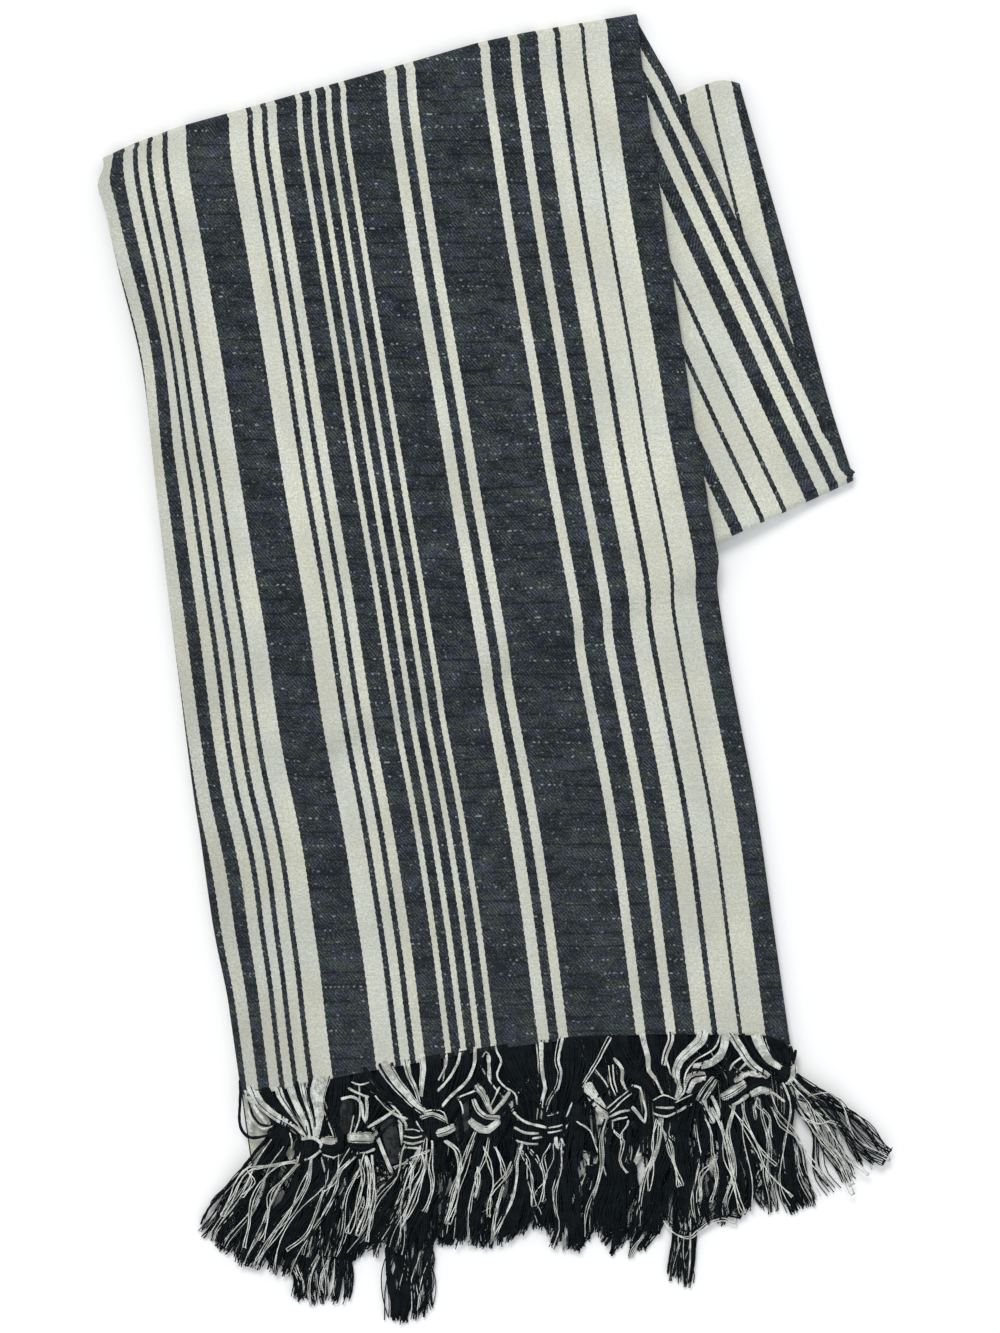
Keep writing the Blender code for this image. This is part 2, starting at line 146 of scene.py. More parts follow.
# Soft creases. Each runs from one place to another, and lifts the cloth by height within
# about width of its line.
Crease = namedtuple("Crease", "section from_x from_y to_x to_y width height")
CREASES = (
    Crease(0, -202, 224, -187, 130, 3.6, 2.5),
    Crease(0, 128, 66, 60, 40, 6.0, 0.5),
    Crease(0, 80, 44, 128, 20, 4.0, 0.4),
    Crease(0, -60, 0, 40, 30, 9.0, 0.35),
    Crease(0, -120, -90, -20, -70, 10.0, 0.3),
    Crease(0, -150, 60, -60, 90, 10.0, 0.3),
    Crease(0, 20, -150, 120, -120, 12.0, 0.35),
    Crease(0, 90, -60, 140, -30, 7.0, 0.35),
    Crease(0, -20, 250, 60, 280, 12.0, 0.3),
    Crease(1, 146, 150, 168, 96, 7.0, 0.8),
    Crease(1, 150, 130, 190, 150, 6.0, 0.4),
    Crease(1, 120, 100, 160, 80, 7.0, 0.4),
    Crease(2, 150, 250, 168, 262, 5.0, 0.4),
)
RIPPLE_WAVES = (
    (0.061, 0.023, 0.4), (0.017, 0.072, 1.9), (-0.043, 0.054, 3.3), (0.095, -0.031, 5.1),
)
RIPPLE_HEIGHT = 0.11
RIPPLE_SHIFT = 2.1

# How fine the cloth's mesh is: rings along each section, and columns across each ply.
RING_SPACINGS = (4.6, 4.8, 6.5, 9.5)
FOLD_STEPS = 8
SIDE_FOLD_STEPS = 5
PLY_COLUMN_COUNTS = {"A": 76, "B": 14, "C": 34}

# A row runs across the band from its left edge to its right edge.
Row = namedtuple("Row", "left_x left_y right_x right_y")
TOP_FOLD = Row(-237, 305, 84, 391)
LOWER_FOLD = Row(-88, -28, 216, 111)
INNER_TOP_FOLD = Row(-181, 282, 146, 349)
FRONT_ROWS = (
    Row(-153, -261, 177, -232),
    Row(-161, -204, 165, -148),
    Row(-170, -159, 153, -63),
    Row(-178, -104, 134, 38),
    Row(-183, -71, 131, 72),
    Row(-196, 32, 117, 152),
    Row(-210, 144, 104, 241),
    Row(-234, 270, 90, 338),
    TOP_FOLD,
)
SECOND_ROWS = (
    TOP_FOLD,
    Row(-222, 273, 110, 342),
    Row(-195, 213, 131, 295),
    Row(-155, 123, 163, 225),
    Row(-123, 50, 189, 168),
    LOWER_FOLD,
)
THIRD_ROWS = (
    LOWER_FOLD,
    Row(-107, 34, 200, 159),
    Row(-128, 105, 185, 213),
    Row(-156, 198, 164, 285),
    INNER_TOP_FOLD,
)
BACK_ROWS = (
    INNER_TOP_FOLD,
    Row(-185, 159, 133, 201),
    Row(-188, 15, 124, 63),
    Row(-174, -114, 146, -81),
    Row(-148, -300, 165, -273),
)
SECTIONS = (FRONT_ROWS, SECOND_ROWS, THIRD_ROWS, BACK_ROWS)

# Widths of the warp stripes across the whole cloth, charcoal and cream in turn, from the
# selvedge at the front panel's right edge.
STRIPE_WIDTHS = (
    18.6, 13.5, 3.1, 12, 3, 10.6, 11.6, 6.1, 12, 6.1, 40.3, 6.1, 6, 6, 25.5, 3.1, 6, 3.1, 6, 3.1,
    6, 3.1, 12.2, 6.2, 3, 6, 3, 12.3, 25.5, 12.2, 3, 6, 3, 6, 3, 6, 7.8, 7.5,
    14, 6, 25.5, 12, 3, 6, 3, 12, 40, 6, 12, 6, 25.5, 3, 6, 3, 6, 3, 12, 12, 3, 10, 40, 6, 6, 6,
    20, 14.4, 24.7,
    6.2, 6.1, 6.1, 8.8, 13.6, 2.9, 11.9, 3, 10.4, 7.4, 12.3, 3, 12, 25.5, 6, 12, 6, 40, 12, 3,
    12, 25.5, 6, 18, 4, 3, 20, 3, 24,
)
STRIPE_EDGES = np.cumsum(STRIPE_WIDTHS)

# Places on the fringe are read off the reference photo, in its pixels.
PIXEL = 0.6
PHOTO_CENTRE = (496.5, 664.5)

# The tassels. base_from and base_to are distances across the band from its left edge. The
# tips of a tassel's yarns lie about the line from tip_left to tip_right, in millimetres, and
# rest is their least height. cream is the share of cream yarns in the locks. The front knots lie
# at the first of their FRONT_LOBES, and the back ones at BACK_KNOTS.
Tassel = namedtuple(
    "Tassel", "ply base_from base_to tip_left_x tip_left_y tip_right_x tip_right_y rest cream")
ON_FLOOR = 1.0
ON_FRINGE = 3.6
FRONT_TASSELS = (
    Tassel("B", 0, 66, -180, -344, -157, -362, ON_FLOOR, 0.10),
    Tassel("A", 1, 67, -161, -361, -142, -366, ON_FRINGE, 0.10),
    Tassel("C", 3, 66, -140, -367, -124, -369, ON_FRINGE, 0.08),
    Tassel("C", 67, 133, -117, -358, -94, -362, ON_FRINGE, 0.20),
    Tassel("B", 67, 133, -90, -358, -75, -356, ON_FRINGE, 0.08),
    Tassel("A", 68, 157, -71, -358, -43, -358, ON_FRINGE, 0.16),
    Tassel("C", 133, 200, -37, -352, -11, -352, ON_FRINGE, 0.10),
    Tassel("B", 133, 200, -7, -355, 9, -346, ON_FRINGE, 0.10),
    Tassel("A", 157, 219, 13, -344, 30, -343, ON_FRINGE, 0.07),
    Tassel("C", 200, 266, 33, -352, 50, -358, ON_FRINGE, 0.06),
    Tassel("B", 200, 266, 54, -349, 75, -345, ON_FRINGE, 0.05),
    Tassel("A", 219, 279, 79, -348, 100, -343, ON_FRINGE, 0.06),
    Tassel("A", 279, 303, 104, -340, 129, -338, ON_FRINGE, 0.08),
    Tassel("B", 267, 331, 133, -337, 153, -330, ON_FRINGE, 0.07),
    Tassel("C", 267, 331, 161, -333, 195, -328, ON_FLOOR, 0.07),
    Tassel("A", 303, 332, 179, -332, 236.5, -300, ON_FLOOR, 0.22),
)
BACK_TASSELS = (
    Tassel("A", 1, 55, -140, -362, -125, -368, ON_FLOOR, 0.05),
    Tassel("B", 0, 66, -122, -383, -108, -389, ON_FLOOR, 0.10),
    Tassel("C", 3, 66, -113, -387, -90, -386, ON_FLOOR, 0.18),
    Tassel("A", 56, 111, -89, -362, -77, -358, ON_FLOOR, 0.08),
    Tassel("B", 67, 133, -66, -396, -51, -399, ON_FLOOR, 0.04),
    Tassel("C", 67, 133, -58, -399, -42, -394, ON_FLOOR, 0.10),
    Tassel("A", 111, 167, -35, -352, -21, -351, ON_FLOOR, 0.06),
    Tassel("B", 133, 200, -16, -352, -3, -355, ON_FLOOR, 0.06),
    Tassel("C", 133, 200, 1, -349, 16, -344, ON_FLOOR, 0.05),
    Tassel("A", 167, 222, 20, -340, 36, -348, ON_FLOOR, 0.06),
    Tassel("B", 200, 266, 39, -354, 56, -351, ON_FLOOR, 0.08),
    Tassel("C", 200, 266, 60, -348, 70, -358, ON_FLOOR, 0.10),
    Tassel("A", 222, 278, 73, -360, 90, -358, ON_FLOOR, 0.10),
    Tassel("B", 267, 331, 104, -373, 117, -378, ON_FLOOR, 0.20),
    Tassel("C", 267, 331, 126, -340, 140, -338, ON_FLOOR, 0.15),
    Tassel("A", 278, 332, 144, -337, 157, -324, ON_FLOOR, 0.12),
)
BACK_KNOTS = (
    (-141, -322), (-121, -321), (-101, -319), (-81, -317), (-58, -316), (-43, -314), (-21, -312),
    (-1, -310), (19, -309), (39, -307), (59, -305), (79, -303), (99, -302), (119, -300),
    (138, -298), (158, -297),
)
PLY_OFFSETS = {"A": PLY_PITCH, "B": 0.0, "C": -PLY_PITCH}
FRONT_KNOT_HEIGHT = 7.6
BACK_KNOT_HEIGHT = 3.0

# The rounded masses of yarn that make the knots, for each front tassel in turn: place, half
# sizes in pixels and turn in degrees.
Lobe = namedtuple("Lobe", "x y half_x half_y turn")
FRONT_LOBES = (
    (Lobe(281, 1136, 15, 10, -30),),
    (Lobe(308, 1148, 15, 10, -8),),
    (Lobe(331, 1148, 13, 10, 0),),
    (Lobe(361, 1142, 13, 11, 0),),
    (Lobe(413, 1138, 11, 12, 0),),
    (Lobe(433, 1127, 18, 15, 0),),
    (Lobe(489, 1121, 21, 19, 0),),
    (Lobe(529, 1132, 18, 14, -8),),
    (Lobe(554, 1130, 13, 16, 0),),
    (Lobe(577, 1117, 14, 14, 0),),
    (Lobe(619, 1107, 15, 18, 35),),
    (Lobe(666, 1107, 14, 13, 0),),
    (Lobe(702, 1087, 16, 15, -20),),
    (Lobe(735, 1091, 15, 14, 30),),
    (Lobe(758, 1087, 13, 12, 0),),
    (Lobe(785, 1073, 11, 10, 60), Lobe(788, 1056, 9, 10, 0)),
)
BACK_LOBE = (10, 9)
LOBE_HALF_HEIGHT = 4.2
BACK_LOBE_HALF_HEIGHT = 2.6

# Flat ribbons of yarn side by side over the knots and the fans. A row of this table and of the
# next three has the front tassel it belongs to, its tone, its widths in pixels at the start and
# the end, and the places along it.
FRONT_RIBBONS = (
    (1, "D", 4, 4, (240, 1082), (240, 1101), (239, 1118), (242, 1131), (251, 1138), (266, 1136),
     (277, 1131)),
    (1, "L", 6, 4, (249, 1098), (256, 1110), (266, 1124)),
    (1, "L", 9, 4, (249, 1120), (251, 1132)),
    (1, "D", 3, 3, (249, 1104), (253, 1116), (261, 1125), (272, 1126)),
    (1, "L", 3, 3, (245, 1090), (247, 1106), (252, 1120), (262, 1129), (272, 1126)),
    (1, "L", 2, 2, (290, 1134), (292, 1141), (291, 1148)),
    (2, "D", 12, 4, (264, 1086), (269, 1098), (279, 1108), (291, 1118), (303, 1130)),
    (2, "L", 10, 6, (248, 1078), (254, 1093), (262, 1106), (276, 1117), (291, 1126), (303, 1136)),
    (2, "L", 9, 4, (275, 1078), (279, 1092), (286, 1105), (297, 1121), (307, 1137)),
    (2, "L", 8, 4, (287, 1078), (291, 1090), (296, 1104), (304, 1121), (310, 1138)),
    (2, "L", 9, 3, (301, 1074), (304, 1090), (307, 1104), (312, 1121), (314, 1137)),
    (2, "L", 22, 5, (321, 1062), (321, 1076), (318, 1090), (317, 1104), (318, 1118), (316, 1136)),
    (2, "D", 3, 2, (280, 1080), (287, 1100), (299, 1121), (308, 1137)),
    (2, "D", 4, 2, (296, 1078), (299, 1092), (303, 1104), (309, 1121), (312, 1137)),
    (2, "D", 5, 2, (308, 1066), (311, 1078), (308, 1093), (313, 1110), (316, 1130)),
    (2, "L", 4, 4, (303, 1139), (313, 1138), (321, 1144), (320, 1151)),
    (2, "L", 4, 4, (295, 1157), (307, 1160), (320, 1151)),
    (3, "L", 9, 8, (321, 1140), (335, 1141)),
    (3, "D", 6, 5, (320, 1148), (331, 1150), (343, 1148)),
    (3, "L", 4, 3, (324, 1155), (333, 1158), (342, 1155)),
    (4, "L", 3, 2, (353, 1083), (360, 1085), (368, 1083)),
    (4, "L", 4, 3, (349, 1089), (357, 1093), (367, 1097)),
    (4, "L", 4, 3, (342, 1099), (350, 1097), (357, 1099), (362, 1106), (363, 1117), (367, 1124)),
    (4, "L", 2, 2, (353, 1118), (351, 1129), (349, 1140)),
    (4, "L", 2, 2, (376, 1097), (384, 1106), (394, 1115)),
    (4, "L", 5, 4, (393, 1112), (381, 1120), (367, 1128)),
    (4, "L", 4, 4, (407, 1119), (400, 1117), (392, 1113)),
    (4, "L", 12, 12, (349, 1138), (361, 1137), (373, 1138)),
    (4, "D", 5, 4, (350, 1146), (361, 1148), (372, 1145)),
    (4, "L", 4, 4, (349, 1151), (361, 1154), (373, 1150)),
    (4, "L", 4, 4, (366, 1098), (367, 1110), (366, 1121)),
    (5, "L", 2, 2, (405, 1130), (413, 1129), (419, 1131)),
    (5, "L", 3, 2, (405, 1136), (413, 1137), (421, 1136)),
    (5, "L", 3, 3, (405, 1142), (413, 1143), (422, 1141)),
    (5, "L", 3, 3, (407, 1148), (416, 1148), (425, 1150)),
    (5, "L", 3, 3, (398, 1161), (402, 1150), (408, 1147)),
    (6, "L", 20, 6, (382, 1060), (388, 1072), (397, 1085), (406, 1095), (414, 1104), (425, 1113)),
    (6, "L", 11, 2, (404, 1054), (409, 1075), (415, 1088), (419, 1101)),
    (6, "L", 11, 3, (420, 1050), (423, 1066), (422, 1082), (421, 1096)),
    (6, "L", 4, 2, (446, 1048), (446, 1064), (439, 1079)),
    (6, "L", 5, 3, (461, 1046), (458, 1062), (450, 1077), (438, 1091)),
    (6, "L", 5, 4, (475, 1044), (474, 1065), (466, 1082), (450, 1097), (441, 1108)),
    (6, "L", 6, 5, (422, 1117), (433, 1114), (445, 1120)),
    (6, "L", 2, 2, (424, 1112), (435, 1110), (444, 1113), (447, 1122)),
    (6, "L", 11, 9, (438, 1133), (445, 1131), (453, 1128)),
    (6, "L", 2, 2, (415, 1120), (418, 1124), (422, 1130)),
    (7, "L", 3, 2, (483, 1056), (486, 1052), (490, 1058), (488, 1075), (491, 1083)),
    (7, "L", 4, 4, (488, 1057), (489, 1068), (490, 1079)),
    (7, "L", 3, 2, (457, 1098), (465, 1095), (475, 1091)),
    (7, "L", 3, 2, (458, 1099), (462, 1106), (463, 1114)),
    (7, "L", 11, 3, (477, 1087), (484, 1096), (491, 1112)),
    (7, "L", 3, 2, (499, 1089), (495, 1097), (491, 1105)),
    (7, "L", 6, 4, (509, 1093), (502, 1103), (493, 1112)),
    (7, "L", 7, 5, (474, 1101), (478, 1110), (487, 1116), (498, 1117)),
    (7, "L", 10, 8, (471, 1121), (478, 1127), (488, 1129), (498, 1121)),
    (7, "D", 2, 2, (472, 1124), (484, 1127), (496, 1126)),
    (7, "L", 4, 2, (494, 1042), (497, 1052), (501, 1062), (497, 1076), (505, 1087), (515, 1094),
     (517, 1104)),
    (8, "L", 4, 4, (512, 1103), (513, 1112), (524, 1121), (545, 1127)),
    (8, "L", 4, 3, (516, 1128), (525, 1132), (537, 1133)),
    (8, "L", 3, 3, (533, 1138), (541, 1137)),
    (8, "L", 4, 3, (517, 1141), (527, 1143), (537, 1144)),
    (9, "L", 7, 3, (541, 1040), (542, 1069), (545, 1088), (542, 1102), (541, 1118)),
    (9, "L", 9, 3, (561, 1038), (557, 1060), (560, 1073), (557, 1088), (549, 1101), (546, 1112)),
    (9, "L", 3, 3, (546, 1116), (558, 1113)),
    (9, "L", 3, 2, (550, 1127), (561, 1125)),
    (9, "L", 3, 2, (549, 1132), (560, 1130)),
    (9, "L", 2, 2, (567, 1115), (572, 1103)),
    (9, "L", 6, 4, (556, 1138), (557, 1147), (565, 1155)),
    (9, "L", 4, 3, (561, 1138), (565, 1148)),
    (9, "L", 2, 2, (565, 1155), (563, 1168), (556, 1175)),
    (10, "L", 7, 3, (609, 1039), (603, 1050), (597, 1062), (584, 1083)),
    (10, "L", 3, 2, (578, 1122), (590, 1131), (596, 1147), (602, 1163), (606, 1175)),
    (11, "L", 15, 14, (586, 1084), (594, 1098), (603, 1112), (602, 1124)),
    (11, "L", 13, 12, (603, 1130), (604, 1144)),
    (11, "L", 10, 8, (606, 1148), (607, 1156)),
    (11, "D", 3, 3, (582, 1092), (595, 1102), (609, 1112)),
    (11, "L", 2, 2, (609, 1068), (611, 1084), (615, 1094)),
    (11, "L", 2, 2, (613, 1067), (614, 1080), (617, 1091)),
    (11, "L", 5, 4, (615, 1060), (622, 1069), (622, 1081), (626, 1090)),
    (11, "L", 2, 2, (608, 1107), (618, 1098), (629, 1091)),
    (11, "L", 2, 2, (611, 1111), (621, 1101), (631, 1094)),
    (11, "L", 4, 3, (611, 1116), (620, 1111), (628, 1110)),
    (11, "L", 3, 2, (612, 1121), (619, 1118), (626, 1117)),
    (11, "L", 4, 3, (633, 1086), (640, 1088), (643, 1099), (646, 1112), (645, 1122)),
    (11, "L", 5, 3, (633, 1108), (638, 1114), (643, 1121)),
    (12, "L", 9, 3, (641, 1030), (644, 1042), (648, 1058), (649, 1071), (657, 1081), (663, 1094)),
    (12, "L", 10, 6, (670, 1026), (671, 1040), (666, 1053), (664, 1064)),
    (12, "L", 2, 2, (666, 1058), (668, 1065), (671, 1075)),
    (12, "L", 17, 5, (702, 1026), (702, 1038), (692, 1049), (680, 1061), (676, 1074),
     (680, 1089), (677, 1098)),
    (12, "L", 3, 2, (720, 1036), (714, 1049), (695, 1061), (685, 1076), (685, 1090), (678, 1100)),
    (12, "D", 3, 2, (715, 1030), (716, 1041), (705, 1053), (690, 1062), (681, 1075), (683, 1089)),
    (12, "L", 2, 2, (654, 1100), (664, 1095), (675, 1099)),
    (12, "L", 3, 3, (658, 1107), (672, 1107)),
    (12, "L", 3, 3, (655, 1114), (666, 1116), (674, 1113)),
    (12, "L", 4, 3, (677, 1112), (691, 1105)),
    (12, "L", 2, 2, (677, 1102), (691, 1095)),
    (13, "L", 12, 8, (726, 1036), (722, 1053), (711, 1063), (695, 1067)),
    (13, "D", 3, 3, (688, 1071), (699, 1069), (711, 1074)),
    (13, "L", 13, 12, (687, 1091), (692, 1079), (704, 1076)),
    (13, "L", 12, 10, (700, 1101), (706, 1090), (714, 1080)),
    (13, "D", 2, 2, (692, 1096), (699, 1088), (703, 1080)),
    (13, "L", 10, 8, (700, 1096), (706, 1108), (713, 1122)),
    (13, "L", 5, 5, (712, 1097), (718, 1110), (722, 1128)),
    (14, "L", 13, 8, (730, 1032), (741, 1049), (751, 1064), (767, 1076)),
    (14, "L", 3, 3, (729, 1074), (731, 1067), (737, 1061), (743, 1057)),
    (14, "L", 3, 3, (736, 1073), (742, 1068), (748, 1061)),
    (14, "L", 11, 11, (723, 1097), (733, 1091), (744, 1084)),
    (14, "D", 2, 2, (723, 1091), (731, 1085), (740, 1081)),
    (14, "L", 8, 6, (736, 1081), (747, 1074), (761, 1075)),
    (14, "L", 7, 6, (733, 1105), (747, 1096)),
    (14, "D", 5, 4, (724, 1105), (737, 1098), (748, 1088), (763, 1081)),
    (15, "L", 10, 9, (752, 1094), (760, 1089), (770, 1093)),
    (15, "D", 4, 3, (745, 1090), (754, 1084), (766, 1082)),
    (15, "L", 6, 5, (757, 1098), (755, 1108), (757, 1120)),
    (15, "L", 4, 3, (769, 1091), (777, 1096), (785, 1102)),
    (16, "L", 20, 7, (757, 1032), (762, 1046), (770, 1060), (780, 1067)),
    (16, "D", 4, 3, (742, 1032), (753, 1052), (764, 1063), (777, 1070)),
    (16, "L", 9, 9, (794, 1067), (793, 1080), (784, 1088)),
    (16, "L", 15, 12, (793, 1086), (799, 1098), (806, 1110)),
)
# Ribbons of cloth and yarn that lie below the front knots.
LOW_RIBBONS = (
    (4, "L", 6, 4, (374, 1130), (382, 1150), (391, 1172)),
    (4, "G", 19, 12, (386, 1120), (391, 1140), (396, 1162)),
    (4, "L", 10, 3, (400, 1117), (402, 1132), (403, 1147)),
    (4, "G", 17, 14, (346, 1101), (345, 1118), (345, 1133)),
    (4, "G", 9, 6, (465, 1098), (466, 1118), (468, 1136)),
)
# A loose loop at the foot of the fringe.
LOOP_STRANDS = (
    (13, "L", 3, 2, (655, 1196), (664, 1222), (676, 1236), (690, 1240), (703, 1229), (722, 1220),
     (736, 1224)),
    (13, "D", 3, 3, (659, 1194), (668, 1219), (681, 1232), (694, 1234), (708, 1223), (724, 1216),
     (740, 1219)),
)
LOOP_HEIGHT = 4.6
LOW_RIBBON_HEIGHT = 7.6
# Loose strands that stand out on the locks.
STRANDS = (
    (2, "L", 3, 2, (294, 1161), (263, 1167), (248, 1171), (238, 1184), (232, 1197), (222, 1214)),
    (2, "L", 2, 2, (296, 1163), (280, 1166), (262, 1180), (252, 1200), (250, 1225), (244, 1246)),
    (2, "L", 2, 2, (300, 1163), (286, 1175), (272, 1192), (268, 1215), (262, 1240)),
    (2, "L", 2, 2, (248, 1172), (253, 1182), (248, 1192), (242, 1196)),
    (3, "L", 2, 2, (322, 1160), (326, 1180), (318, 1205), (306, 1235), (288, 1250)),
    (4, "L", 4, 3, (366, 1158), (370, 1180), (368, 1205), (358, 1234)),
    (4, "L", 3, 3, (360, 1160), (362, 1180), (356, 1210), (348, 1232)),
    (4, "L", 3, 2, (354, 1157), (342, 1170), (330, 1186), (322, 1192)),
    (4, "L", 2, 2, (372, 1158), (374, 1185), (372, 1215), (366, 1240)),
    (6, "L", 2, 2, (431, 1150), (412, 1159), (396, 1168)),
    (6, "L", 5, 4, (446, 1142), (456, 1150), (460, 1168), (456, 1195), (448, 1222)),
    (6, "L", 4, 3, (432, 1143), (431, 1165), (433, 1185), (425, 1210)),
    (6, "L", 3, 2, (421, 1152), (424, 1172), (416, 1200), (402, 1226)),
    (6, "L", 2, 2, (407, 1160), (413, 1168), (409, 1188)),
    (7, "L", 3, 3, (477, 1166), (478, 1180), (475, 1196)),
    (7, "L", 2, 2, (484, 1149), (489, 1163), (493, 1185), (488, 1215)),
    (7, "L", 3, 2, (495, 1147), (501, 1160), (505, 1178)),
    (7, "L", 2, 2, (511, 1162), (505, 1176), (494, 1190), (488, 1204)),
    (8, "L", 4, 3, (519, 1149), (526, 1160), (531, 1180), (533, 1205)),
    (8, "L", 3, 2, (529, 1148), (538, 1160), (543, 1176), (542, 1200)),
    (11, "L", 3, 2, (613, 1122), (615, 1132), (622, 1142), (621, 1160), (626, 1172)),
    (11, "L", 2, 2, (628, 1122), (622, 1135), (621, 1145)),
    (12, "L", 3, 2, (657, 1121), (653, 1140), (652, 1165), (648, 1190)),
    (12, "L", 5, 2, (659, 1122), (667, 1140), (675, 1165), (680, 1185)),
    (12, "L", 2, 2, (669, 1124), (672, 1135), (677, 1142)),
    (13, "L", 5, 3, (713, 1110), (722, 1130), (728, 1160), (736, 1190), (744, 1212)),
    (13, "L", 3, 2, (704, 1116), (712, 1140), (716, 1170), (713, 1200)),
    (13, "L", 4, 3, (700, 1200), (703, 1175), (716, 1158)),
    (14, "L", 2, 2, (730, 1106), (742, 1122), (755, 1145), (768, 1172), (790, 1196)),
    (14, "L", 2, 2, (742, 1105), (748, 1125), (762, 1150), (775, 1165)),
    (15, "L", 3, 2, (757, 1104), (768, 1118), (772, 1136)),
    (15, "L", 2, 2, (771, 1107), (782, 1125), (797, 1140), (812, 1160), (825, 1180)),
    (16, "D", 10, 9, (800, 1096), (822, 1104), (842, 1124), (862, 1148), (884, 1160)),
    (16, "L", 2, 2, (803, 1118), (818, 1125), (832, 1121), (846, 1128)),
    (16, "L", 2, 2, (806, 1097), (827, 1094), (844, 1109), (857, 1140), (888, 1160)),
    (16, "L", 4, 3, (806, 1112), (824, 1138), (842, 1162), (852, 1184)),
    (16, "L", 2, 2, (812, 1108), (832, 1134), (848, 1158), (868, 1174)),
    (16, "L", 3, 3, (800, 1110), (812, 1130), (832, 1152), (846, 1180), (853, 1194)),
    (16, "D", 6, 5, (802, 1086), (820, 1091), (840, 1103), (853, 1122), (876, 1142), (889, 1152)),
)

# Yarns, in millimetres. A pair is the least and the most of a random measure, and a scatter is
# the standard deviation of one.
YARN_SIDES = 4
DARK_YARN_RADIUS = 0.56
CREAM_YARN_RADIUS = 0.38
YARN_TONES = {"D": 0, "L": 1, "G": 2}
WAVE_PACES = (0.6, 1.5)
WAVE_SIZES = (0.3, 1.6)

# The fans of warp between the woven end and the knots.
FAN_YARN_RADIUS = 0.62
FAN_RADIUS_SHARES = (0.85, 1.1)
FAN_YARN_SPACINGS = {"A": 0.95, "B": 1.2, "C": 1.4}
FAN_LEAST_YARNS = 8
FAN_POINTS = 10
FAN_START = 2.0
FAN_LEAVE_SHARES = (0.40, 0.6)
FAN_ARRIVE_SHARE = 0.25
FAN_WAVE = (0.3, 1.5)
CREAM_SHOWN_BELOW = 0.12
NECK_HALF_HEIGHT = 2.0
NECK_ROUNDNESS = 0.9

# Straight black yarns that fill the fans from below, for the front tassels that have them: the
# distances across the band between which they lie.
FILLS = {5: (60, 88), 6: (88, 160), 9: (160, 232), 12: (232, 290), 16: (290, 326)}
FILL_SPACING = 0.8
FILL_START = 22.0
FILL_LENGTHS = (44, 62)
FILL_DRIFT = -4.0
FILL_BEND = 2.0
FILL_BENDS_AT = (0.3, 0.7)
FILL_START_LIFT = 1.0
FILL_LEAVE_LIFTS = (0.3, 1.3)
FILL_ARRIVE_LIFTS = (0.0, 1.0)
FILL_HEIGHT = 5.0
FILL_RADIUS_SHARES = (0.9, 1.2)

# The turns of yarn in a knot's lobe.
LOOP_SPACING = 1.5
LOOP_POINTS = 14
LOOP_YARN_RADIUS = 0.95
LOOP_INSET = 0.7
LOOP_SKEW = 0.8
LOOP_SIZES = (0.96, 1.03)
LOBE_ROUNDNESS = 0.95
LOBE_FILLED = 0.93
LEAST_LOOPS = 6

# The locks below a knot: yarns in clumps.
LOCK_CLUMPS = 11
LOCK_YARNS = 110
BACK_LOCK_YARNS = 84
FIRST_BACK_SEED = 100
LOCK_POINTS = 15
LOCK_TIP_TAPER = 0.75
LOCK_RADIUS_SHARES = (0.8, 1.15)
CREAM_IN_PALE_CLUMP = 0.5
OUTER_CLUMP = 0.92
CLUMP_SCATTER = 0.08
CLUMP_YARN_SCATTER = 0.07
CLUMP_DRIFT = 0.09
YARN_DRIFT = 0.05
CLUMP_SHORTER = 5.0
YARN_SHORTER = 3.0
CLUMP_BEND = 2.6
TIP_PLACES = (-0.04, 1.04)
TIP_HEIGHTS = (0.0, 2.2)
CREAM_LIFT = 0.5
LOCK_LEAVE_SHARE = 0.30
LOCK_ARRIVE_SHARE = 0.35
LOCK_FLARE = 2.0
LOCK_SWELL = 1.6
FOOT_ROUNDNESS = 1.05
CREAM_SWELL = 0.6
CLUMP_WAVE = (1.9, 1.4)
YARN_WAVE = (0.5, 1.9)
STRAY_WAVE = (2.6, 1.0)
STRAY_SHARE = 0.06

# Where the yarns enter and leave a knot, as shares of its half length and half width.
NECK_SHARE = 0.4
FOOT_SHARE = 0.5
FRONT_NECK_WIDTH = 0.9
FRONT_NECK_LEAST = 6.5
FRONT_FOOT_WIDTH = 0.8
FRONT_FOOT_LEAST = 5.5
BACK_FOOT_WIDTH = 0.9
FRONT_LOCKS_OVER = 0.4
BACK_LOCKS_HEIGHT = 2.6
TIPS_PULL = 1.4

# The top of the front fringe, about the line on which its knots lie.
KNOTS_LINE_START = (-110.0, -281.0)
KNOTS_LINE_SLOPE = 0.13
FRINGE_HEIGHT = 7.5
FRINGE_FALL = 1.9
FRINGE_FALL_REACH = 60.0
FRINGE_RISE = 0.5
FRINGE_RISE_REACH = 25.0
RIBBON_CLEARANCE = 0.5

# Ribbons. Their ends reach on and sink, they rise under the woven end, and short ones are the
# bands of a knot.
RIBBON_YARN_SPACING = 0.62
RIBBON_YARN_RADIUS = 0.40
RIBBON_RADIUS_SHARES = (0.88, 1.1)
RIBBON_STEP = 2.4
RIBBON_SCATTER = 0.10
RIBBON_HEIGHT_SCATTER = 0.08
RIBBON_MOST_INSET = 0.9
RIBBON_LIFT_ABOVE = 0.4
RIBBON_CREST = 0.4
END_REACH = 0.8
END_RISE = 0.8
END_RISE_REACH = 9.0
END_SINK = 2.2
END_SINK_REACH = 4.0
KNOT_BAND_LONGEST = 24.0
KNOT_BAND_TAPER = 0.8
KNOT_BAND_ARCH = 0.34
FAN_RIBBON_ARCH = 0.12
LIFT_REACH = 12.0
UNDER_CLOTH_START = -0.6
UNDER_CLOTH_HEIGHT = 7.9
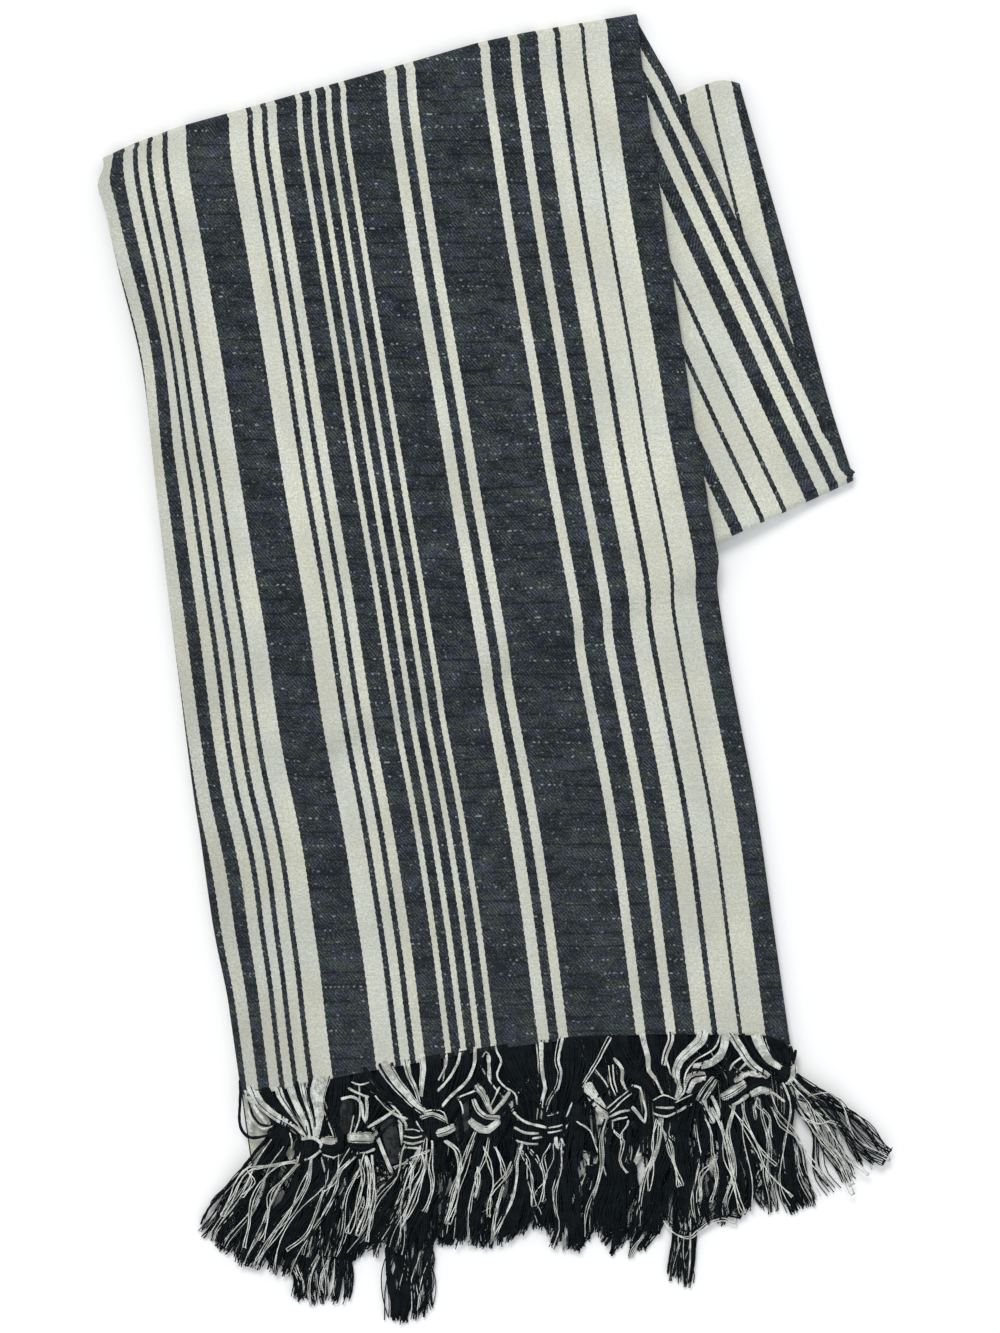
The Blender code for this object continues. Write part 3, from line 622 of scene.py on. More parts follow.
PALE_RIBBON_WIDTHS = ((-115.0, -60.0), (1.15, 0.84))
WIDE_RIBBON = 5
DARK_IN_RIBBON = 0.16
FRONT_RIBBON_LIFT = 1.0
FRONT_RIBBON_STEP_UP = 0.06
LOW_RIBBON_STEP_UP = 0.1
STRAND_LIFT = 2.6
STRAND_WAVE = (0.8, 1.6)
STRAND_SPREAD = 3.0

# Colours in linear light.
CHARCOAL_DEEP = (0.0060, 0.0085, 0.0120, 1.0)
CHARCOAL_NAVY = (0.082, 0.099, 0.134, 1.0)
CHARCOAL_GREEN = (0.088, 0.118, 0.098, 1.0)
SPECK = (0.30, 0.34, 0.35, 1.0)
CREAM_CLOTH = (0.780, 0.790, 0.666, 1.0)
CREAM_COOL = (0.728, 0.764, 0.706, 1.0)
CREAM_SLUB = (0.430, 0.424, 0.352, 1.0)
# The colour of the painted shade along the left fold and towards the woven end.
PAINTED_SHADE_COLOUR = (0.020, 0.022, 0.024, 1.0)
GREY_YARN = (0.046, 0.050, 0.052, 1.0)
GREY_YARN_WORN = (0.014, 0.016, 0.019, 1.0)
BLACK_YARN = (0.0014, 0.0034, 0.0052, 1.0)
BLACK_YARN_WORN = (0.0045, 0.0085, 0.0115, 1.0)
CREAM_YARN = (0.800, 0.825, 0.780, 1.0)
CREAM_YARN_WORN = (0.410, 0.412, 0.375, 1.0)
FLOOR_COLOUR = (0.97, 0.97, 0.97, 1.0)


# Plan of the folds.

def ends(row):
    return np.array([(row.left_x, row.left_y), (row.right_x, row.right_y)], float)


def on_row(row, distances):
    """Points on a row, at distances across the band from its left edge."""
    left, right = ends(row)
    return left + (right - left) * (np.asarray(distances) / BAND_WIDTH)[..., None]


def warp_ends(rows, distances):
    """Points on a section's end, and the directions in which the warp runs out of it."""
    base = on_row(rows[0], distances)
    return base, unit(base - on_row(rows[1], distances))


def unit(vectors):
    return vectors / np.maximum(np.linalg.norm(vectors, axis=-1, keepdims=True), SMALLEST)


def quarter_turn(run):
    """Level directions a quarter turn to the left of others."""
    return np.stack([-run[..., 1], run[..., 0]], axis=-1)


def level_normal(line, towards):
    """The level direction square to a line, on the side where the point towards lies."""
    normal = unit(quarter_turn(line[1] - line[0]))
    return normal if normal @ (towards - line[0]) > 0 else -normal


def curve_point(before, start, end, after, share):
    slope_in = (end - before) / 2
    slope_out = (after - start) / 2
    square = share * share
    cube = square * share
    return (
        start * (2 * cube - 3 * square + 1)
        + slope_in * (cube - 2 * square + share)
        + end * (3 * square - 2 * cube)
        + slope_out * (cube - square)
    )


def smooth_through(controls, spacing):
    """Points, or pairs of points, along a smooth curve through the controls."""
    padded = np.concatenate([controls[:1], controls, controls[-1:]])
    points = [controls[0]]
    for before, start, end, after in zip(padded, padded[1:], padded[2:], padded[3:]):
        steps = max(2, round(np.linalg.norm(end - start, axis=-1).mean() / spacing))
        for step in range(1, steps + 1):
            points.append(curve_point(before, start, end, after, step / steps))
    return np.array(points)


def section_lines(rows, folded_start, folded_end, spacing):
    """The lines across one section at which the mesh has a ring, as pairs of end points."""
    controls = np.array([ends(row) for row in rows])
    if folded_start:
        controls[0] = controls[0] + level_normal(controls[0], controls[1][0]) * FOLD_DEPTH
    if folded_end:
        controls[-1] = controls[-1] + level_normal(controls[-1], controls[-2][0]) * FOLD_DEPTH
    return smooth_through(controls, spacing)


def ease(share):
    share = np.clip(share, 0.0, 1.0)
    return share * share * (3 - 2 * share)


def beyond_line(points, row, inside):
    line = ends(row)
    return -(points - line[0]) @ level_normal(line, inside)


def beyond_edge(points, edge, outside_sign):
    """How far points lie outside a section's left (-1) or right (+1) edge."""
    nearest = np.full(points.shape[:-1], np.inf)
    side = np.zeros(points.shape[:-1])
    for start, end in zip(edge, edge[1:]):
        run = end - start
        share = np.clip((points - start) @ run / (run @ run), 0.0, 1.0)
        away = points - (start + share[..., None] * run)
        distance = np.linalg.norm(away, axis=-1)
        turn = run[0] * (points - start)[..., 1] - run[1] * (points - start)[..., 0]
        closer = distance < nearest
        nearest = np.where(closer, distance, nearest)
        side = np.where(closer, turn, side)
    downwards = 1 if edge[-1][1] < edge[0][1] else -1
    return np.where(side * outside_sign * downwards > 0, nearest, -nearest)


def presence(points, rows):
    """1 over a section, falling smoothly to 0 at some distance outside it."""
    corners = np.array([ends(row) for row in rows])
    middle = corners.reshape(-1, 2).mean(axis=0)
    left, right = corners[:, 0], corners[:, 1]
    aside = np.maximum(beyond_edge(points, left, -1), beyond_edge(points, right, 1))
    along = np.maximum(beyond_line(points, rows[0], middle), beyond_line(points, rows[-1], middle))
    side_share = (aside - SIDE_SLOPE_START) / SIDE_SLOPE_LENGTH
    fold_share = (along - FOLD_SLOPE_START) / FOLD_SLOPE_LENGTH
    return (1 - ease(side_share)) * (1 - ease(fold_share))


def band_height(points, section):
    """Height of the middle of a section's three plies above points of the floor."""
    height = np.full(points.shape[:-1], BAND_THICKNESS / 2)
    for rows in SECTIONS[section + 1:]:
        height = height + SECTION_PITCH * presence(points, rows)
    return height


def relief(points, section):
    """Soft creases and ripples of one section, none of them through the floor."""
    x, y = points[..., 0], points[..., 1]
    phases = [a * x + b * y + c + RIPPLE_SHIFT * section for a, b, c in RIPPLE_WAVES]
    height = RIPPLE_HEIGHT * sum(np.sin(phase) for phase in phases)
    for crease in CREASES:
        if crease.section != section:
            continue
        start = np.array([crease.from_x, crease.from_y])
        run = np.array([crease.to_x, crease.to_y]) - start
        share = np.clip((points - start) @ run / (run @ run), 0.0, 1.0)
        away = np.linalg.norm(points - start - share[..., None] * run, axis=-1)
        height = height + crease.height * np.exp(-((away / crease.width) ** 2))
    return np.maximum(height, BAND_THICKNESS / 2 - band_height(points, section))


# The cloth.

def ply_profile():
    """Columns of the mesh, from ply A's free edge at the right through B to C's at the left.

    Gives their distance across the band, offset from its middle, place across the flat cloth
    and ply.
    """
    turn = PLY_PITCH / 2
    left = turn + CLOTH_THICKNESS / 2
    right = BAND_WIDTH - UNDER_PLY_INSET - left
    columns = [
        *ply_columns("A", BAND_WIDTH, left), *side_fold("AB", left, turn, -1, "A"),
        *ply_columns("B", left, right), *side_fold("BC", right, -turn, 1, "C"),
        *ply_columns("C", right, left),
    ]
    distances, offsets, across_cloth, plies = zip(*columns)
    return np.array(distances), np.array(offsets), np.array(across_cloth), np.array(plies)


def ply_columns(ply, start, end):
    for distance in np.linspace(start, end, PLY_COLUMN_COUNTS[ply]):
        yield distance, PLY_OFFSETS[ply], cloth_place(ply, distance), ply


def side_fold(joined, distance, middle, outwards, ply):
    """Columns round the side fold that joins two plies. They count as part of one of them."""
    start, end = (cloth_place(name, distance) for name in joined)
    for step in range(1, SIDE_FOLD_STEPS):
        share = step / SIDE_FOLD_STEPS
        angle = math.pi * share
        reach = outwards * PLY_PITCH / 2 * math.sin(angle)
        offset = middle + PLY_PITCH / 2 * math.cos(angle)
        yield distance + reach, offset, start * (1 - share) + end * share, ply


def cloth_place(ply, distances):
    """Distance from the cloth's first selvedge of points across the band on one ply."""
    start, direction = PLY_STARTS[ply]
    return start + direction * distances


def facing(section):
    """1 for a section whose ply A faces up, and -1 for one that is turned over."""
    return 1 if section % 2 == 0 else -1


def flat_rings(lines, distances, offsets, section, shortening):
    """Points of a section's rings, and how far along the section each lies."""
    steps = np.linalg.norm(np.diff(lines, axis=0), axis=2).mean(axis=1)
    reach = np.concatenate([[0.0], np.cumsum(steps)])[:, None]
    along = reach + shortening * np.clip(1 - reach / END_ZONE, 0.0, None)
    left, right = (
        np.stack([np.interp(along, reach[:, 0], lines[:, side, axis]) for axis in (0, 1)], axis=-1)
        for side in (0, 1)
    )
    places = left + (right - left) * (distances / BAND_WIDTH)[None, :, None]
    heights = band_height(places, section) + relief(places, section)
    heights = heights + facing(section) * offsets
    places = bent_edges(places, reach[:, 0], unit(right - left), distances, section)
    places = places + bow_shift(lines[-1], lines[-2], reach[-1] - reach, distances, section)
    places = places + bow_shift(lines[0], lines[1], reach, distances, section - 1)
    return raised(places, heights), along


def bent_edges(places, reach, rightwards, distances, section):
    for bend in EDGE_BENDS:
        if bend.section != section:
            continue
        sign = 1 if bend.side == "right" else -1
        inset = BAND_WIDTH - distances if sign == 1 else distances
        size = sign * bend.out * np.exp(-(((reach - bend.along) / bend.reach) ** 2))
        fade = np.exp(-((inset / bend.depth) ** 2))
        places = places + rightwards * (size[:, None] * fade[None])[..., None]
    return places


def bow_shift(line, next_line, away, distances, fold):
    """Shift in plan towards a bowed fold of points at a distance away from it."""
    if fold not in FOLD_BOWS:
        return 0.0
    bows = np.interp(distances, *zip(*FOLD_BOWS[fold]))
    fade = 1 - ease(away / FOLD_BOW_REACH)
    return (fade * bows[None])[..., None] * -level_normal(line, next_line[0])


def fold_rings(line, distances, offsets, section, outwards):
    places = line[0] + (line[1] - line[0]) * (distances / BAND_WIDTH)[:, None]
    centre = band_height(places, section) - FOLD_RADIUS
    upper = relief(places, section)
    lower = relief(places, section + 1)
    radius = FOLD_RADIUS + facing(section) * offsets
    bows = np.interp(distances, *zip(*FOLD_BOWS.get(section, ((0, 0),))))
    rings = []
    for step in range(1, FOLD_STEPS):
        share = step / FOLD_STEPS
        angle = math.pi * share
        plan = places + outwards * (bows + radius * math.sin(angle))[:, None]
        height = centre + radius * math.cos(angle) + upper * (1 - share) + lower * share
        rings.append(raised(plan, height))
    return np.array(rings)


def cloth_sheet():
    """The middle surface of the cloth as rings of points, with its place in the flat cloth."""
    distances, offsets, across_cloth, plies = ply_profile()
    trims = np.interp(distances, *zip(*WOVEN_END))
    trims = trims + np.where(plies == "A", 0.0, UNDER_PLIES_SHORTER)
    parts, wefts, slips = [], [], {"A": [], "C": []}
    last = len(SECTIONS) - 1
    arc = math.pi * FOLD_RADIUS
    for section, rows in enumerate(SECTIONS):
        lines = section_lines(rows, section > 0, section < last, RING_SPACINGS[section])
        shortening = trims[None, :] * (section == 0)
        points, along = flat_rings(lines, distances, offsets, section, shortening)
        parts.append(points)
        if section == 0:
            front_along = along.mean(axis=1)
            wefts.append(points[..., 1] - points[0, :, 1].mean())
        else:
            wefts.append(wefts[-1][-1] + arc / FOLD_STEPS + lengths_along(points))
        for ply in slips:
            start, end = section_slips(section, ply)
            slips[ply].append(np.linspace(start, end, len(points)))
            if section < last:
                slips[ply].append(np.full(FOLD_STEPS - 1, end))
        if section < last:
            outwards = -level_normal(lines[-1], lines[-2][0])
            parts.append(fold_rings(lines[-1], distances, offsets, section, outwards))
            steps = arc * np.arange(1, FOLD_STEPS) / FOLD_STEPS
            wefts.append(wefts[-1][-1] + steps[:, None])
    points = np.concatenate(parts)
    along_cloth = np.concatenate(wefts)
    place = np.broadcast_to(across_cloth, along_cloth.shape).copy()
    for ply, amounts in slips.items():
        place += np.concatenate(amounts)[:, None] * (plies == ply)
    on_front = eased_slips(FRONT_SLIPS, FRONT_SLIP_PLACES, SLIP_SOFTNESS, front_along, distances)
    pleated = eased_slips(PLEAT_SLIPS, PLEAT_SLIP_PLACES, PLEAT_SOFTNESS, front_along, distances)
    place[:len(parts[0])] += (on_front + pleated) * (plies == "A")
    return points, place, along_cloth


def section_slips(section, ply):
    """The slips of a ply's stripes at the start and the end of a section."""
    for slip in SLIPS:
        if (slip.section, slip.ply) == (section, ply):
            return slip.start, slip.end
    return 0.0, 0.0


def lengths_along(points):
    """How far along its section each point lies, column by column."""
    steps = np.linalg.norm(np.diff(points[..., :2], axis=0), axis=2)
    return np.concatenate([np.zeros((1, steps.shape[1])), np.cumsum(steps, axis=0)])


def eased_slips(table, places, softness, along, distances):
    """The slips of a table at each length along the front panel and distance across it."""
    reach, *columns = np.transpose(table)
    nearby = np.add.outer(np.linspace(-softness, softness, SLIP_SAMPLES), along)
    slips = [np.interp(nearby, reach, column).mean(axis=0) for column in columns]
    return np.array([np.interp(distances, places, row) for row in np.transpose(slips)])


def grid_normals(points):
    return unit(np.cross(np.gradient(points, axis=1), np.gradient(points, axis=0)))


def place_in_scene(name, data):
    made = bpy.data.objects.new(name, data)
    bpy.context.scene.collection.objects.link(made)
    return made


def make_mesh(name, points, faces, uvs, materials, face_materials=None):
    mesh = bpy.data.meshes.new(name)
    mesh.from_pydata((points * MILLIMETRE).tolist(), [], faces.tolist())
    layer = mesh.uv_layers.new(name="UVMap")
    corners = np.empty(len(mesh.loops), np.int32)
    mesh.loops.foreach_get("vertex_index", corners)
    layer.data.foreach_set("uv", (uvs[corners] * MILLIMETRE).astype(np.float32).ravel())
    for material in materials:
        mesh.materials.append(material)
    if face_materials is not None:
        mesh.polygons.foreach_set("material_index", face_materials.astype(np.int32))
    mesh.shade_smooth()
    mesh.update()
    return place_in_scene(name, mesh)


def make_cloth(material):
    middle, place, along_cloth = cloth_sheet()
    lift = grid_normals(middle) * (CLOTH_THICKNESS / 2)
    points = np.stack([middle + lift, middle - lift])
    number = np.arange(points[..., 0].size).reshape(points.shape[:3])
    top, under = number
    faces = [quads(top), quads(under)[:, ::-1]]
    rims = (
        (top[0], under[0]), (under[-1], top[-1]), (under[:, 0], top[:, 0]),
        (top[:, -1], under[:, -1]),
    )
    for near, far in rims:
        faces.append(strip(near, far))
    uvs = np.concatenate([np.stack([place, along_cloth], axis=-1).reshape(-1, 2)] * 2)
    return make_mesh("folded_cloth", points.reshape(-1, 3), np.concatenate(faces), uvs, [material])


def quads(number):
    near = number[:-1, :-1].ravel()
    across = number[:-1, 1:].ravel()
    far = number[1:, 1:].ravel()
    along = number[1:, :-1].ravel()
    return np.stack([near, across, far, along], axis=1)


def strip(first, second):
    return np.stack([first[:-1], second[:-1], second[1:], first[1:]], axis=1)


# Yarns.

def bezier(start, leave, arrive, end, count):
    """Smooth paths from each start to each end, as an array of paths by points."""
    t = np.linspace(0.0, 1.0, count)[None, :, None]
    start, leave, arrive, end = (p[:, None, :] for p in (start, leave, arrive, end))
    return (
        start * (1 - t) ** 3 + leave * (3 * t * (1 - t) ** 2)
        + arrive * (3 * t * t * (1 - t)) + end * t ** 3
    )


def tubes(paths, radii, reference, closed=False):
    """Points, faces and UVs of thin tubes along paths. radii has one value for each point."""
    count, length = paths.shape[:2]
    if closed:
        tangents = unit(np.roll(paths, -1, axis=1) - np.roll(paths, 1, axis=1))
    else:
        tangents = unit(np.gradient(paths, axis=1))
    aside = unit(np.cross(tangents, reference))
    above = np.cross(aside, tangents)
    angles = 2 * np.pi * (np.arange(YARN_SIDES) + 0.5) / YARN_SIDES
    around = (
        aside[:, :, None, :] * np.cos(angles)[None, None, :, None]
        + above[:, :, None, :] * np.sin(angles)[None, None, :, None]
    )
    points = paths[:, :, None, :] + around * radii[:, :, None, None]
    number = np.arange(count * length * YARN_SIDES).reshape(count, length, YARN_SIDES)
    rings = np.concatenate([number, number[:, :1]], axis=1) if closed else number
    sideways = np.roll(rings, -1, axis=2)
    faces = np.stack([rings[:, :-1], sideways[:, :-1], sideways[:, 1:], rings[:, 1:]], axis=-1)
    faces = faces.reshape(count, -1, 4)
    if not closed:
        ends_of_yarns = np.stack([number[:, 0, ::-1], number[:, -1]], axis=1)
        faces = np.concatenate([faces, ends_of_yarns], axis=1)
    steps = np.linalg.norm(np.diff(paths, axis=1), axis=2)
    along = np.concatenate([np.zeros((count, 1)), np.cumsum(steps, axis=1)], axis=1)
    uvs = np.stack(np.broadcast_arrays(
        along[:, :, None], (np.arange(YARN_SIDES) * 1.0)[None, None, :]), axis=-1)
    return points.reshape(-1, 3), faces, uvs.reshape(-1, 2)


class Bundle:
    """Gathers the tubes of one piece, with the tone of each yarn."""

    def __init__(self):
        self.points = []
        self.faces = []
        self.uvs = []
        self.tones = []
        self.size = 0

    def add(self, paths, radii, tones, reference=UP, closed=False):
        radii = np.broadcast_to(radii, paths.shape[:2])
        points, faces, uvs = tubes(paths, radii, reference, closed)
        self.faces.append(faces.reshape(-1, 4) + self.size)
        self.tones.append(np.repeat(np.asarray(tones, int), faces.shape[1]))
        self.points.append(points)
        self.uvs.append(uvs)
        self.size += len(points)

    def make(self, name, materials):
        points = np.concatenate(self.points)
        points[:, 2] = np.maximum(points[:, 2], FLOOR_GAP)
        return make_mesh(
            name, points, np.concatenate(self.faces), np.concatenate(self.uvs), materials,
            np.concatenate(self.tones))


def stripe_tone(places):
    """0 for charcoal and 1 for cream."""
    return np.searchsorted(STRIPE_EDGES, places) % 2


def raised(plan, height):
    """Points in space, from points in plan and a height for each or for all."""
    plan = np.asarray(plan, float)
    return np.concatenate([plan, np.broadcast_to(height, plan.shape[:-1])[..., None]], axis=-1)


def spots(places):
    """Plan points in millimetres of places on the photo."""
    places = np.asarray(places, float)
    return (places - PHOTO_CENTRE) * (PIXEL, -PIXEL)


def wave(paths, rng, size, turns, groups=None):
    """A wavy sideways shift in plan of each path. Paths of one group share their wave."""
    count, length = paths.shape[:2]
    groups = np.arange(count) if groups is None else groups
    kinds = (groups.max() + 1, 1, 1)
    aside = quarter_turn(unit(paths[:, -1:, :2] - paths[:, :1, :2]))
    t = np.linspace(0, 1, length)[None, :, None]
    phase = rng.uniform(0, 1, kinds)[groups]
    pace = turns * rng.uniform(*WAVE_PACES, kinds)[groups]
    sizes = size * rng.uniform(*WAVE_SIZES, kinds)[groups]
    return aside * (np.sin(2 * np.pi * (pace * t + phase)) * sizes * np.minimum(1, 4 * t))


def base_height(plan):
    """Height of the top of the front fringe away from its knots."""
    start_x, start_y = KNOTS_LINE_START
    above = plan[..., 1] - (start_y + KNOTS_LINE_SLOPE * (plan[..., 0] - start_x))
    fall = FRINGE_FALL * np.clip(-above / FRINGE_FALL_REACH, 0.0, 1.0)
    return FRINGE_HEIGHT - fall + FRINGE_RISE * np.clip(above / FRINGE_RISE_REACH, 0.0, 1.0)


def woven_end(x):
    """Y of the front panel's woven end at some x."""
    distances, trims = np.transpose(WOVEN_END)
    base, warp = warp_ends(FRONT_ROWS, distances)
    points = base - warp * trims[:, None]
    return np.interp(x, points[:, 0], points[:, 1])


def lobe_axes(lobe):
    """The level directions along a lobe and across it."""
    turn = math.radians(lobe.turn)
    along = np.array([math.cos(turn), math.sin(turn)])
    return along, quarter_turn(along)


def in_lobe(plan, lobe):
    """0 at the middle of a lobe and 1 at its rim."""
    along, aside = lobe_axes(lobe)
    away = plan - spots((lobe.x, lobe.y))
    return np.hypot(away @ along / lobe.half_x, away @ aside / lobe.half_y) / PIXEL


def top_height(plan):
    height = base_height(plan)
    for lobe in itertools.chain(*FRONT_LOBES):
        rise = np.sqrt(np.clip(1 - in_lobe(plan, lobe) ** 2, 0.0, None))
        dome = FRONT_KNOT_HEIGHT + (LOBE_HALF_HEIGHT + RIBBON_CLEARANCE) * rise
        height = np.where(rise > 0, np.maximum(height, dome), height)
    return height


def ribbon_line(places):
    """The middle line of a ribbon through places on the photo, and its length."""
    marks = spots(places)
    before, after = unit(marks[0] - marks[1]), unit(marks[-1] - marks[-2])
    first, last = marks[0] + before * END_REACH, marks[-1] + after * END_REACH
    line = smooth_through(np.concatenate([[first], marks, [last]]), RIBBON_STEP)
    return line, np.linalg.norm(np.diff(line, axis=0), axis=1).sum()


def ribbon_rise(below_cloth, lift, on_fringe):
    """How high a ribbon lies over what is under it, by its distance below the woven end."""
    rise = lift * (RIBBON_LIFT_ABOVE + (1 - RIBBON_LIFT_ABOVE) * ease(below_cloth / LIFT_REACH))
    return rise + on_fringe * END_RISE * (1 - ease(below_cloth / END_RISE_REACH))


def evened(heights):
    """Heights along yarns, with their steps evened out."""
    for _ in range(2):
        inside = (heights[:, :-2] + 2 * heights[:, 1:-1] + heights[:, 2:]) / 4
        heights = np.concatenate([heights[:, :1], inside, heights[:, -1:]], axis=1)
    return heights


def add_ribbon(bundle, ribbon, lift, rng, height=None, loose=False):
    """Yarns side by side over the knots and the fringe, whose ends sink out of sight.

    Loose yarns wander on their own, and spread towards their tips.
    """
    tone, start_width, end_width, *places = ribbon
    line, length = ribbon_line(places)
    share = np.linspace(0.0, 1.0, len(line))
    normal = quarter_turn(unit(np.gradient(line, axis=0)))
    widths = np.linspace(start_width, end_width, len(line)) * PIXEL
    if tone == "L" and length > KNOT_BAND_LONGEST:
        widths = widths * np.interp(line[0, 0], *PALE_RIBBON_WIDTHS)
    banded = length < KNOT_BAND_LONGEST and not loose
    if banded:
        widths = widths * np.sqrt(1 - KNOT_BAND_TAPER * (2 * share - 1) ** 2)
    count = max(1, round(widths.max() / RIBBON_YARN_SPACING))
    offsets = ((np.arange(count) + 0.5) / count - 0.5)[:, None]
    inner = 1 - min(RIBBON_MOST_INSET, 2 * RIBBON_YARN_RADIUS / widths.max())
    plan = line + normal * (offsets * widths * inner)[..., None]
    if loose:
        plan = plan + wave(plan, rng, *STRAND_WAVE)
        plan = plan + normal * (offsets * share * STRAND_SPREAD)[..., None]
    plan = plan + rng.normal(0, RIBBON_SCATTER, plan.shape)
    below_cloth = woven_end(plan[..., 0]) - plan[..., 1]
    heights = top_height(plan) if height is None else height
    heights = heights + ribbon_rise(below_cloth, lift, height is None)
    arch = KNOT_BAND_ARCH if banded else FAN_RIBBON_ARCH
    heights = heights + arch * widths * (RIBBON_CREST - (2 * offsets) ** 2)
    heights = heights + rng.normal(0, RIBBON_HEIGHT_SCATTER, (count, 1))
    from_end = np.minimum(share, 1 - share) * length
    sink = END_SINK * ease(below_cloth / LIFT_REACH) * (1 - ease(from_end / END_SINK_REACH))
    heights = np.where(below_cloth < UNDER_CLOTH_START, UNDER_CLOTH_HEIGHT, heights - sink)
    radii = RIBBON_YARN_RADIUS * rng.uniform(*RIBBON_RADIUS_SHARES, (count, 1))
    tones = np.full(count, YARN_TONES[tone])
    if count >= WIDE_RIBBON and tone == "L":
        tones[1:-1][rng.uniform(0, 1, count - 2) < DARK_IN_RIBBON] = YARN_TONES["D"]
    bundle.add(raised(plan, evened(heights)), radii, tones)


# How a tassel's yarns are held: run is the direction towards its tips, and sideways is square
# to it.
Knot = namedtuple("Knot", "centre run sideways half_length neck_half_width foot_half_width")


def tie_knot(tassel, rows, place, height, *sizes):
    """The knot of a tassel at a place in plan. Its sizes are the last three of Knot."""
    base = on_row(rows[0], (tassel.base_from + tassel.base_to) / 2)
    left, right = tip_line(tassel)
    run = unit(unit(place - base) + TIPS_PULL * unit((left + right) / 2 - place))
    sideways = quarter_turn(run)
    left_edge, right_edge = ends(rows[0])
    if sideways @ (right_edge - left_edge) < 0:
        sideways = -sideways
    return Knot(raised(place, height), raised(run, 0.0), raised(sideways, 0.0), *sizes)


def tip_line(tassel):
    return (
        np.array([tassel.tip_left_x, tassel.tip_left_y], float),
        np.array([tassel.tip_right_x, tassel.tip_right_y], float),
    )


def add_fan(bundle, tassel, rows, ply_height, trimmed, knot, rng):
    """The loose warp from the woven end to the knot's neck.

    At the trimmed end, the one on top, the ribbons stand for the cream warp.
    """
    width = tassel.base_to - tassel.base_from
    count = max(FAN_LEAST_YARNS, int(width / FAN_YARN_SPACINGS[tassel.ply]))
    shares = (np.arange(count) + 0.5) / count
    distances = tassel.base_from + width * shares
    tones = stripe_tone(cloth_place(tassel.ply, distances))
    trims = np.zeros(count)
    if trimmed:
        below = 0.0 if tassel.ply == "A" else UNDER_PLIES_SHORTER
        trims = np.interp(distances, *zip(*WOVEN_END)) + below
        shown = (tassel.ply != "A") & (rng.uniform(0, 1, count) < CREAM_SHOWN_BELOW)
        kept = (tones == 0) | shown
        shares, distances, tones, trims = (
            values[kept] for values in (shares, distances, tones, trims))
        count = len(shares)
    base, warp = warp_ends(rows, distances)
    start = raised(base - warp * (trims[:, None] + FAN_START), ply_height)
    packed = (2 * shares - 1)[:, None]
    lift = np.sqrt(1 - (NECK_ROUNDNESS * packed) ** 2) * rng.uniform(-1, 1, (count, 1))
    neck = knot.centre - knot.run * knot.half_length * NECK_SHARE
    end = neck + knot.sideways * packed * knot.neck_half_width + UP * lift * NECK_HALF_HEIGHT
    reach = np.linalg.norm(end - start, axis=1, keepdims=True)
    leave = start + raised(warp, 0.0) * reach * rng.uniform(*FAN_LEAVE_SHARES, (count, 1))
    arrive = end - knot.run * reach * FAN_ARRIVE_SHARE
    paths = bezier(start, leave, arrive, end, FAN_POINTS)
    paths[:, 1:-1, :2] += wave(paths, rng, *FAN_WAVE)[:, 1:-1]
    bundle.add(paths, FAN_YARN_RADIUS * rng.uniform(*FAN_RADIUS_SHARES, (count, 1)), tones)


def add_lobe(bundle, lobe, height, half_height, rng):
    """A rounded mass of yarn, as closed turns across its long side."""
    centre = raised(spots((lobe.x, lobe.y)), height)
    along, aside = (raised(axis, 0.0) for axis in lobe_axes(lobe))
    half_length, half_width = lobe.half_x * PIXEL, lobe.half_y * PIXEL
    count = max(LEAST_LOOPS, round(2 * half_length / LOOP_SPACING))
    place = (np.arange(count) + 0.5) / count * 2 - 1
    bulge = np.sqrt(1 - LOBE_ROUNDNESS * place ** 2) * rng.uniform(*LOOP_SIZES, count)
    angle = 2 * np.pi * np.arange(LOOP_POINTS) / LOOP_POINTS
    skew = rng.uniform(-LOOP_SKEW, LOOP_SKEW, (count, 1)) * np.cos(angle)
    shift = (place * half_length * LOBE_FILLED)[:, None] + skew
    wide = bulge[:, None] * (half_width - LOOP_INSET) * np.cos(angle)
    high = bulge[:, None] * half_height * np.sin(angle)
    paths = centre + along * shift[..., None] + aside * wide[..., None] + UP * high[..., None]
    bundle.add(paths, LOOP_YARN_RADIUS, [0] * count, reference=along, closed=True)


